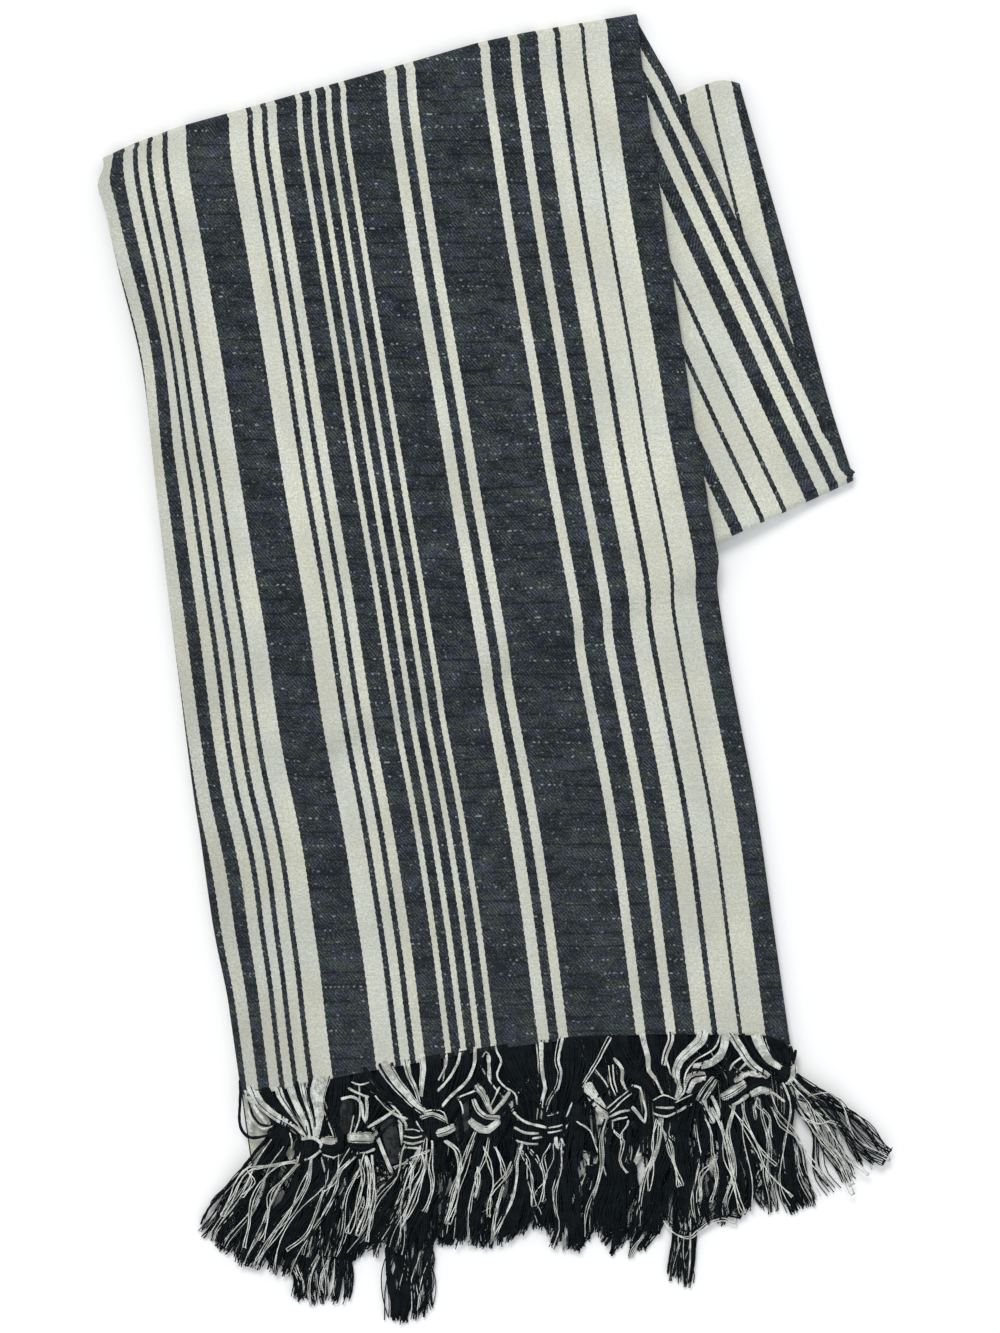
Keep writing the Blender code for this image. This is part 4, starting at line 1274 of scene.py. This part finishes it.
def add_locks(bundle, tassel, knot, over, count, rng):
    """The loose yarns below a knot, in clumps, down to the tips. They leave it at a height over."""
    outer = np.linspace(-OUTER_CLUMP, OUTER_CLUMP, LOCK_CLUMPS)
    middles = outer + rng.normal(0, CLUMP_SCATTER, LOCK_CLUMPS)
    pale = np.zeros(LOCK_CLUMPS, bool)
    pale_clumps = max(1, round(2 * tassel.cream * LOCK_CLUMPS))
    pale[1:-1] = rng.permutation(LOCK_CLUMPS - 2) < pale_clumps
    clumps = rng.integers(0, LOCK_CLUMPS, count)
    tones = (pale[clumps] & (rng.uniform(0, 1, count) < CREAM_IN_PALE_CLUMP)).astype(int)
    spread = np.clip(middles[clumps] + rng.normal(0, CLUMP_YARN_SCATTER, count), -1, 1)
    depth = rng.uniform(-1, 1, count) + CREAM_LIFT * tones
    rise = depth * np.sqrt(FOOT_ROUNDNESS - spread ** 2) * NECK_HALF_HEIGHT
    foot = knot.centre + knot.run * knot.half_length * FOOT_SHARE
    aside = knot.sideways * (spread * knot.foot_half_width)[:, None]
    start = foot + aside + UP * rise[:, None]

    left, right = tip_line(tassel)
    drift = rng.normal(0, CLUMP_DRIFT, LOCK_CLUMPS)[clumps] + rng.normal(0, YARN_DRIFT, count)
    share = np.clip((spread + 1) / 2 + drift, *TIP_PLACES)[:, None]
    run = unit((left + right) / 2 - foot[:2])
    shorter = np.abs(rng.normal(0, CLUMP_SHORTER, LOCK_CLUMPS))[clumps]
    shorter = shorter + np.abs(rng.normal(0, YARN_SHORTER, count))
    tip = left + (right - left) * share - run * shorter[:, None]
    height = tassel.rest + rng.uniform(*TIP_HEIGHTS, count) + CREAM_LIFT * tones
    end = raised(tip, height)

    reach = np.linalg.norm(end - start, axis=1, keepdims=True)
    leave = start + knot.run * reach * LOCK_LEAVE_SHARE
    leave = leave + knot.sideways * (spread * LOCK_FLARE)[:, None]
    leave[:, 2] = over + depth * LOCK_SWELL + CREAM_SWELL * tones
    arrive = end - raised(run, 0.0) * reach * LOCK_ARRIVE_SHARE
    arrive[:, :2] += rng.normal(0, CLUMP_BEND, (LOCK_CLUMPS, 2))[clumps]
    arrive[:, 2] = (over + height) / 2 + depth
    paths = bezier(start, leave, arrive, end, LOCK_POINTS)
    paths[:, :, :2] += wave(paths, rng, *CLUMP_WAVE, clumps)
    paths[:, :, :2] += wave(paths, rng, *YARN_WAVE)
    stray = rng.uniform(0, 1, count) < STRAY_SHARE
    paths[stray, :, :2] += wave(paths[stray], rng, *STRAY_WAVE)
    sizes = np.where(tones == 1, CREAM_YARN_RADIUS, DARK_YARN_RADIUS)[:, None]
    taper = np.linspace(1.0, LOCK_TIP_TAPER, LOCK_POINTS)[None]
    radii = sizes * rng.uniform(*LOCK_RADIUS_SHARES, (count, 1)) * taper
    paths[:, :, 2] = np.maximum(paths[:, :, 2], radii + FLOOR_GAP)
    bundle.add(paths, radii, tones)


def add_fill(bundle, first, last, rng):
    """Straight black yarns under the knots, from the woven end down past them."""
    base, warp = warp_ends(FRONT_ROWS, np.arange(first, last, FILL_SPACING))
    count = len(base)
    bend = rng.normal(0, FILL_BEND, (2, count, 2))
    reach = warp * rng.uniform(*FILL_LENGTHS, (count, 1))
    leave_share, arrive_share = FILL_BENDS_AT
    start = raised(base - warp * FILL_START, FILL_HEIGHT + FILL_START_LIFT)
    end = raised(base + reach + bend[0] + (FILL_DRIFT, 0.0), FILL_HEIGHT)
    lift = rng.uniform(*FILL_LEAVE_LIFTS, count)
    leave = raised(base + reach * leave_share, FILL_HEIGHT + lift)
    lift = rng.uniform(*FILL_ARRIVE_LIFTS, count)
    arrive = raised(base + reach * arrive_share + bend[1], FILL_HEIGHT + lift)
    paths = bezier(start, leave, arrive, end, FAN_POINTS)
    radii = DARK_YARN_RADIUS * rng.uniform(*FILL_RADIUS_SHARES, (count, 1))
    bundle.add(paths, radii, [0] * count)


def front_yarns(index, tassel):
    rng = np.random.default_rng(index)
    lobes = FRONT_LOBES[index - 1]
    half_width, half_length = lobes[0].half_x * PIXEL, lobes[0].half_y * PIXEL
    knot = tie_knot(
        tassel, FRONT_ROWS, spots((lobes[0].x, lobes[0].y)), FRONT_KNOT_HEIGHT, half_length,
        max(half_width * FRONT_NECK_WIDTH, FRONT_NECK_LEAST),
        max(half_width * FRONT_FOOT_WIDTH, FRONT_FOOT_LEAST))
    base = on_row(FRONT_ROWS[0], (tassel.base_from + tassel.base_to) / 2)
    ply_height = float(band_height(base, 0)) + PLY_OFFSETS[tassel.ply]
    bundle = Bundle()
    add_fan(bundle, tassel, FRONT_ROWS, ply_height, True, knot, rng)
    for lobe in lobes:
        add_lobe(bundle, lobe, FRONT_KNOT_HEIGHT, LOBE_HALF_HEIGHT, rng)
    add_locks(bundle, tassel, knot, FRONT_KNOT_HEIGHT + FRONT_LOCKS_OVER, LOCK_YARNS, rng)
    for order, ribbon in enumerate(owned(FRONT_RIBBONS, index)):
        add_ribbon(bundle, ribbon, FRONT_RIBBON_LIFT + FRONT_RIBBON_STEP_UP * order, rng)
    for strand in owned(STRANDS, index):
        add_ribbon(bundle, strand, STRAND_LIFT, rng, loose=True)
    if index in FILLS:
        add_fill(bundle, *FILLS[index], rng)
    for order, ribbon in enumerate(owned(LOW_RIBBONS, index)):
        add_ribbon(bundle, ribbon, LOW_RIBBON_STEP_UP * order, rng, height=LOW_RIBBON_HEIGHT)
    for strand in owned(LOOP_STRANDS, index):
        add_ribbon(bundle, strand, 0.0, rng, height=LOOP_HEIGHT, loose=True)
    return bundle


def owned(table, index):
    """The rows of a table that belong to one front tassel, without its number."""
    return [ribbon for owner, *ribbon in table if owner == index]


def back_yarns(index, tassel):
    rng = np.random.default_rng(FIRST_BACK_SEED + index)
    place = np.array(BACK_KNOTS[index - 1], float)
    photo_x, photo_y = place / (PIXEL, -PIXEL) + PHOTO_CENTRE
    half_width, half_length = BACK_LOBE[0] * PIXEL, BACK_LOBE[1] * PIXEL
    knot = tie_knot(
        tassel, BACK_ROWS[::-1], place, BACK_KNOT_HEIGHT, half_length, half_width,
        half_width * BACK_FOOT_WIDTH)
    ply_height = BAND_THICKNESS / 2 - PLY_OFFSETS[tassel.ply]
    bundle = Bundle()
    add_fan(bundle, tassel, BACK_ROWS[::-1], ply_height, False, knot, rng)
    lobe = Lobe(photo_x, photo_y, *BACK_LOBE, 0)
    add_lobe(bundle, lobe, BACK_KNOT_HEIGHT, BACK_LOBE_HALF_HEIGHT, rng)
    add_locks(bundle, tassel, knot, BACK_LOCKS_HEIGHT, BACK_LOCK_YARNS, rng)
    return bundle


# Materials. Places on the cloth are in metres: across it, and along it from its woven end.

STOPS_IN_A_RAMP = 30
CLOTH_ROUGHNESS = 0.92
CLOTH_SHEEN = 0.05
YARN_ROUGHNESS = 0.88
FLOOR_ROUGHNESS = 0.9
SHEEN_ROUGHNESS = 0.6
SPECULAR = 0.18

# Noise on the cloth, as waves to the metre across it and along it.
EDGE_NOISE = (150.0, 700.0)
GRAIN = (760.0, 900.0)
FINE_GRAIN = (900.0, 1400.0)
BLOTCHES = (130.0, 190.0)
PATCHES = (32.0, 62.0)
TINTS = (90.0, 130.0)
CASTS = (34.0, 22.0)
SHADES = (21.0, 16.0)
PICK_STRETCHES = (34.0, 95.0)
PICK_HITS = (330.0, 220.0)
FLECKS = (380.0, 520.0)
SLUBS = (55.0, 900.0)
CRINKLES = (300.0, 420.0)
CREPE = (110.0, 260.0)
GRAIN_ROUGHNESS = 0.6

# The levels of noise between which its shares run from 0 to 1.
GRAIN_LEVELS = (0.30, 0.72)
BLOTCH_LEVELS = (0.36, 0.62)
WEFT_LEVELS = (-0.05, 0.95)
TINT_LEVELS = (0.41, 0.61)
CAST_LEVELS = (0.36, 0.64)
DARKENING_LEVELS = (0.66, 0.34)
SLUB_LEVELS = (0.30, 0.44)
LOW_STRETCH_LEVELS = (0.56, 0.48)
PICK_STRETCH_LEVELS = (0.52, 0.58)
PICK_HIT_LEVELS = (0.44, 0.62)
FLECK_LEVELS = (0.72, 0.80)
YARN_PATCH_LEVELS = (0.40, 0.60)

# The stripes' edges step aside from pick to pick.
PICKS_TO_THE_METRE = 480.0
EDGE_STEP = 0.00036
EDGE_ROUGHNESS = 0.0007

# The diagonal lines of the twill.
TWILL_RUN = (-0.82, 0.57)
TWILL_SPACING = 0.0017
TWILL_WOBBLE = 0.0007
TWILL_WOBBLES = 90.0

# The charcoal's pale weft: how much of it each cause shows, and its level.
WEFT_BY_TWILL = 0.46
WEFT_BY_GRAIN = 0.50
WEFT_BY_BLOTCH = 0.58
WEFT_BY_PATCH = 0.68
WEFT_LEVEL = 0.61
LOW_ROW_DEPTH = 0.20

# Rows of pale picks, and the low rows between their stretches.
WEFT_ROW_SPACING = 0.0086
LOW_ROW_EDGES = (0.0003, 0.0010)
PICK_ROW_EDGES = (0.0002, 0.0007)
ROW_WANDER = 0.010
ROW_WANDERS = 9.0
SPECK_SPACING = 0.0034
SPECK_EDGES = (0.0008, 0.0013)
SPECK_WANDER = 0.006
SPECK_WANDERS = 160.0
SPECK_STRENGTH = 0.9
FLECK_STRENGTH = 0.45

# How far each cause turns the cream towards its slub colour.
CREAM_BY_SHADE = 0.42
CREAM_BY_SLUB = 0.30
CREAM_BY_GRAIN = 0.62
CREAM_BY_CRINKLE = 0.22

# Painted shade: the cloth is darkened a little along its left fold and towards its woven end.
PAINTED_SHADE_SHARE = 0.11
PAINTED_SHADE_FOLD_REACH = 0.060
PAINTED_SHADE_END_REACH = 0.42

# Yarn: waves of wear to the metre, and its twist in radians to the metre.
YARN_PATCHES = 170.0
YARN_GRAIN = 620.0
TWIST_ALONG = 4200.0
TWIST_AROUND = 2 * math.pi / YARN_SIDES / MILLIMETRE
YARN_PATCH_SHARE = 0.68

# Bumps: the share of each cause, then strength and distance.
BUMP_BY_TWILL = 0.3
BUMP_BY_FINE_GRAIN = 0.8
BUMP_BY_CREPE = 3.4
BUMP_BY_SLUB = 0.8
CLOTH_BUMP = (0.5, 0.00040)
YARN_BUMP = (0.6, 0.0003)


def feed(value, socket):
    """Gives a socket a value of the graph, or a plain number or colour."""
    if isinstance(value, Value):
        value.tree.links.new(value.socket, socket)
    else:
        socket.default_value = value


def calculate(tree, operation, *values):
    node = tree.nodes.new("ShaderNodeMath")
    node.operation = operation
    for value, socket in zip(values, node.inputs):
        feed(value, socket)
    return Value(tree, node.outputs[0])


def mix(share, first, second):
    """A colour between two others."""
    node = share.tree.nodes.new("ShaderNodeMix")
    node.data_type = "RGBA"
    for value, number in ((share, 0), (first, 6), (second, 7)):
        feed(value, node.inputs[number])
    return Value(share.tree, node.outputs[2])


class Value:
    """A value in a shader's graph, with plain sums and products."""

    def __init__(self, tree, socket):
        self.tree = tree
        self.socket = socket

    def __add__(self, other):
        return self.math("ADD", other)

    def __sub__(self, other):
        return self.math("SUBTRACT", other)

    def __rsub__(self, other):
        return calculate(self.tree, "SUBTRACT", other, self)

    def __mul__(self, other):
        return self.math("MULTIPLY", other)

    def math(self, operation, *others):
        return calculate(self.tree, operation, self, *others)

    def parts(self):
        node = self.tree.nodes.new("ShaderNodeSeparateXYZ")
        feed(self, node.inputs[0])
        return [Value(self.tree, socket) for socket in node.outputs]

    def noise(self, scale, detail=2.0, roughness=0.5):
        """Noise at this place. Its scale is one number, or a pair across and along."""
        place = self
        if isinstance(scale, tuple):
            mapping = self.tree.nodes.new("ShaderNodeMapping")
            feed(self, mapping.inputs["Vector"])
            mapping.inputs["Scale"].default_value = (*scale, 1.0)
            place, scale = Value(self.tree, mapping.outputs[0]), 1.0
        node = self.tree.nodes.new("ShaderNodeTexNoise")
        feed(place, node.inputs["Vector"])
        node.inputs["Scale"].default_value = scale
        node.inputs["Detail"].default_value = detail
        node.inputs["Roughness"].default_value = roughness
        return Value(self.tree, node.outputs["Fac"])

    def between(self, low, high):
        """0 at low, 1 at high and beyond, smooth between them."""
        node = self.tree.nodes.new("ShaderNodeMapRange")
        node.interpolation_type = "SMOOTHSTEP"
        feed(self, node.inputs["Value"])
        node.inputs["From Min"].default_value = low
        node.inputs["From Max"].default_value = high
        return Value(self.tree, node.outputs[0])


def new_material(name, roughness, sheen):
    material = bpy.data.materials.new(name)
    material.use_nodes = True
    shader = material.node_tree.nodes["Principled BSDF"]
    shader.inputs["Roughness"].default_value = roughness
    shader.inputs["Sheen Weight"].default_value = sheen
    shader.inputs["Sheen Roughness"].default_value = SHEEN_ROUGHNESS
    shader.inputs["Specular IOR Level"].default_value = SPECULAR
    return material, shader


def uv_place(material):
    node = material.node_tree.nodes.new("ShaderNodeUVMap")
    node.uv_map = "UVMap"
    return Value(material.node_tree, node.outputs[0])


def add_bump(shader, height, strength, distance):
    node = height.tree.nodes.new("ShaderNodeBump")
    node.inputs["Strength"].default_value = strength
    node.inputs["Distance"].default_value = distance
    feed(height, node.inputs["Height"])
    feed(Value(height.tree, node.outputs[0]), shader.inputs["Normal"])


def striped(place):
    """1 where the warp is cream, from the place across the cloth."""
    edges = [0.0, *(STRIPE_EDGES * MILLIMETRE)]
    tone = None
    for first in range(0, len(STRIPE_WIDTHS), STOPS_IN_A_RAMP):
        last = min(first + STOPS_IN_A_RAMP, len(STRIPE_WIDTHS))
        low, high = edges[first], edges[last]
        ramp = place.tree.nodes.new("ShaderNodeValToRGB")
        ramp.color_ramp.interpolation = "CONSTANT"
        feed((place - low).math("DIVIDE", high - low), ramp.inputs[0])
        stops = ramp.color_ramp.elements
        stops.remove(stops[1])
        for index in range(first, last):
            spot = (edges[index] - low) / (high - low)
            stop = stops[0] if index == first else stops.new(spot)
            stop.position = spot
            stop.color = (index % 2, index % 2, index % 2, 1.0)
        piece = Value(place.tree, ramp.outputs[0])
        tone = piece if tone is None else mix(place.math("GREATER_THAN", low), tone, piece)
    return tone


def charcoal(uv, across, along, twill, grain):
    """The charcoal stripes: twill and blotches, low rows, and pale picks in rows."""
    blotch = uv.noise(BLOTCHES)
    weft = (twill - 0.5) * (blotch.between(*BLOTCH_LEVELS) * WEFT_BY_TWILL)
    weft = weft + grain.between(*GRAIN_LEVELS) * WEFT_BY_GRAIN + blotch * WEFT_BY_BLOTCH
    weft = weft + uv.noise(PATCHES, detail=3.0) * WEFT_BY_PATCH - WEFT_LEVEL

    row_place = along + uv.noise(ROW_WANDERS, detail=1.0) * ROW_WANDER
    from_row = row_place.math("PINGPONG", WEFT_ROW_SPACING / 2)
    stretch = uv.noise(PICK_STRETCHES, detail=0.0)
    low_row = (1.0 - from_row.between(*LOW_ROW_EDGES)) * stretch.between(*LOW_STRETCH_LEVELS)
    weft = (weft - low_row * LOW_ROW_DEPTH).between(*WEFT_LEVELS)

    pick = across + uv.noise(SPECK_WANDERS, detail=1.0) * SPECK_WANDER
    pick = pick.math("PINGPONG", SPECK_SPACING / 2).between(*SPECK_EDGES)
    dots = pick * uv.noise(PICK_HITS, detail=0.0).between(*PICK_HIT_LEVELS)
    dots = dots * (1.0 - from_row.between(*PICK_ROW_EDGES)) * stretch.between(*PICK_STRETCH_LEVELS)
    flecks = uv.noise(FLECKS, detail=0.0).between(*FLECK_LEVELS)
    speck = dots.math("MAXIMUM", flecks * FLECK_STRENGTH)

    tint = uv.noise(TINTS, detail=3.0).between(*TINT_LEVELS)
    weave = mix(weft, CHARCOAL_DEEP, mix(tint, CHARCOAL_NAVY, CHARCOAL_GREEN))
    return mix(speck * SPECK_STRENGTH, weave, SPECK)


def creams(uv, grain, slub):
    """The cream stripes: two casts, soft shades, crosswise slubs and fine grain."""
    colour = mix(uv.noise(CASTS).between(*CAST_LEVELS), CREAM_CLOTH, CREAM_COOL)
    shades = (
        uv.noise(SHADES).between(*DARKENING_LEVELS) * CREAM_BY_SHADE,
        (1.0 - slub.between(*SLUB_LEVELS)) * CREAM_BY_SLUB,
        grain.between(*DARKENING_LEVELS) * CREAM_BY_GRAIN,
        uv.noise(CRINKLES).between(*DARKENING_LEVELS) * CREAM_BY_CRINKLE,
    )
    for shade in shades:
        colour = mix(shade, colour, CREAM_SLUB)
    return colour


def cloth_material():
    """Charcoal twill with pale weft specks in rows, and cream stripes with crosswise slubs."""
    material, shader = new_material("striped_cotton", CLOTH_ROUGHNESS, CLOTH_SHEEN)
    uv = uv_place(material)
    across, along, _ = uv.parts()
    tooth = (along * PICKS_TO_THE_METRE).math("PINGPONG", 1.0)
    ragged = tooth * EDGE_STEP + (uv.noise(EDGE_NOISE) - 0.5) * EDGE_ROUGHNESS
    cream = striped(across + ragged)

    diagonal = across * TWILL_RUN[0] + along * TWILL_RUN[1]
    diagonal = diagonal + uv.noise(TWILL_WOBBLES, detail=1.0) * TWILL_WOBBLE
    twill = (diagonal * (2 * math.pi / TWILL_SPACING)).math("SINE")
    twill = twill.math("MULTIPLY_ADD", 0.5, 0.5)
    grain = uv.noise(GRAIN, roughness=GRAIN_ROUGHNESS)
    slub = uv.noise(SLUBS)
    colour = mix(cream, charcoal(uv, across, along, twill, grain), creams(uv, grain, slub))
    # Painted shade: darker along the left fold and towards the woven end.
    from_fold = (across - BAND_WIDTH * MILLIMETRE).math("ABSOLUTE")
    by_fold, by_end = from_fold.between(PAINTED_SHADE_FOLD_REACH, 0.0), along.between(PAINTED_SHADE_END_REACH, 0.0)
    painted_shade = by_fold * PAINTED_SHADE_SHARE + by_end * PAINTED_SHADE_SHARE
    feed(mix(painted_shade, colour, PAINTED_SHADE_COLOUR), shader.inputs["Base Color"])

    height = twill * BUMP_BY_TWILL + uv.noise(FINE_GRAIN) * BUMP_BY_FINE_GRAIN
    height = height + uv.noise(CREPE) * BUMP_BY_CREPE + slub * BUMP_BY_SLUB
    add_bump(shader, height, *CLOTH_BUMP)
    return material


def yarn_material(name, colour, worn, sheen):
    """Loose plied cotton yarn, with a slanting twist."""
    material, shader = new_material(name, YARN_ROUGHNESS, sheen)
    tree = material.node_tree
    place = Value(tree, tree.nodes.new("ShaderNodeTexCoord").outputs["Object"])
    patch = place.noise(YARN_PATCHES, detail=3.0) * YARN_PATCH_SHARE
    patch = patch + place.noise(YARN_GRAIN) * (1 - YARN_PATCH_SHARE)
    feed(mix(patch.between(*YARN_PATCH_LEVELS), colour, worn), shader.inputs["Base Color"])
    along, around, _ = uv_place(material).parts()
    twist = along * TWIST_ALONG + around * TWIST_AROUND
    add_bump(shader, twist.math("SINE"), *YARN_BUMP)
    return material


# The studio. The camera looks straight down from where the photo's frame fills its view.

PHOTO_HEIGHT = 799.8
VIEW_CENTRE = (2.1, -1.2)
TOWEL_TOP = 10.0
LENS = 85.0
SENSOR = 36.0
SKY_COLOUR = (0.96, 0.98, 1.0, 1.0)
SKY_STRENGTH = 0.70
FLOOR_HALF_SIDE = 3.0
Sun = namedtuple("Sun", "name direction strength colour angle")
SUNS = (
    Sun("key_light", (-0.25, 0.75, 1.0), 1.35, (1.0, 0.985, 0.95), 22.0),
    Sun("fill_light", (0.35, -0.9, 1.0), 0.35, (0.82, 0.91, 1.0), 40.0),
)


def make_camera():
    data = bpy.data.cameras.new("camera")
    data.sensor_fit = "VERTICAL"
    data.sensor_height = SENSOR
    data.lens = LENS
    camera = place_in_scene("camera", data)
    height = PHOTO_HEIGHT * LENS / SENSOR + TOWEL_TOP
    camera.location = [size * MILLIMETRE for size in (*VIEW_CENTRE, height)]
    bpy.context.scene.camera = camera


def add_sun(sun):
    data = bpy.data.lights.new(sun.name, "SUN")
    data.energy = sun.strength
    data.color = sun.colour
    data.angle = math.radians(sun.angle)
    x, y, z = sun.direction
    place_in_scene(sun.name, data).rotation_euler = (
        math.atan2(math.hypot(x, y), z), 0.0, math.atan2(x, -y))


def make_studio():
    world = bpy.data.worlds.new("studio")
    world.use_nodes = True
    background = world.node_tree.nodes["Background"]
    background.inputs["Color"].default_value = SKY_COLOUR
    background.inputs["Strength"].default_value = SKY_STRENGTH
    bpy.context.scene.world = world
    bpy.context.scene.view_settings.view_transform = "Standard"
    for sun in SUNS:
        add_sun(sun)

    side = FLOOR_HALF_SIDE
    corners = [(-side, -side, 0.0), (side, -side, 0.0), (side, side, 0.0), (-side, side, 0.0)]
    mesh = bpy.data.meshes.new("floor")
    mesh.from_pydata(corners, [], [(0, 1, 2, 3)])
    material, shader = new_material("pale_floor", FLOOR_ROUGHNESS, 0.0)
    shader.inputs["Base Color"].default_value = FLOOR_COLOUR
    mesh.materials.append(material)
    place_in_scene("floor", mesh)


def make_fringes(materials):
    made = []
    fringes = (("front", FRONT_TASSELS, front_yarns), ("back", BACK_TASSELS, back_yarns))
    for side, tassels, gather in fringes:
        for index, tassel in enumerate(tassels, 1):
            piece = gather(index, tassel).make(f"yarns_{side}_{index:02d}", materials)
            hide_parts(f"tassel_{side}_{index:02d}")
            made.append(piece)
    for piece in made:
        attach(piece, "root")
    return made


make_camera()
make_studio()
cloth = make_cloth(cloth_material())
yarns = make_fringes([
    yarn_material("charcoal_yarn", BLACK_YARN, BLACK_YARN_WORN, 0.0),
    yarn_material("cream_yarn", CREAM_YARN, CREAM_YARN_WORN, 0.08),
    yarn_material("grey_yarn", GREY_YARN, GREY_YARN_WORN, 0.0),
])
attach(cloth, "root")
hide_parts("cloth")
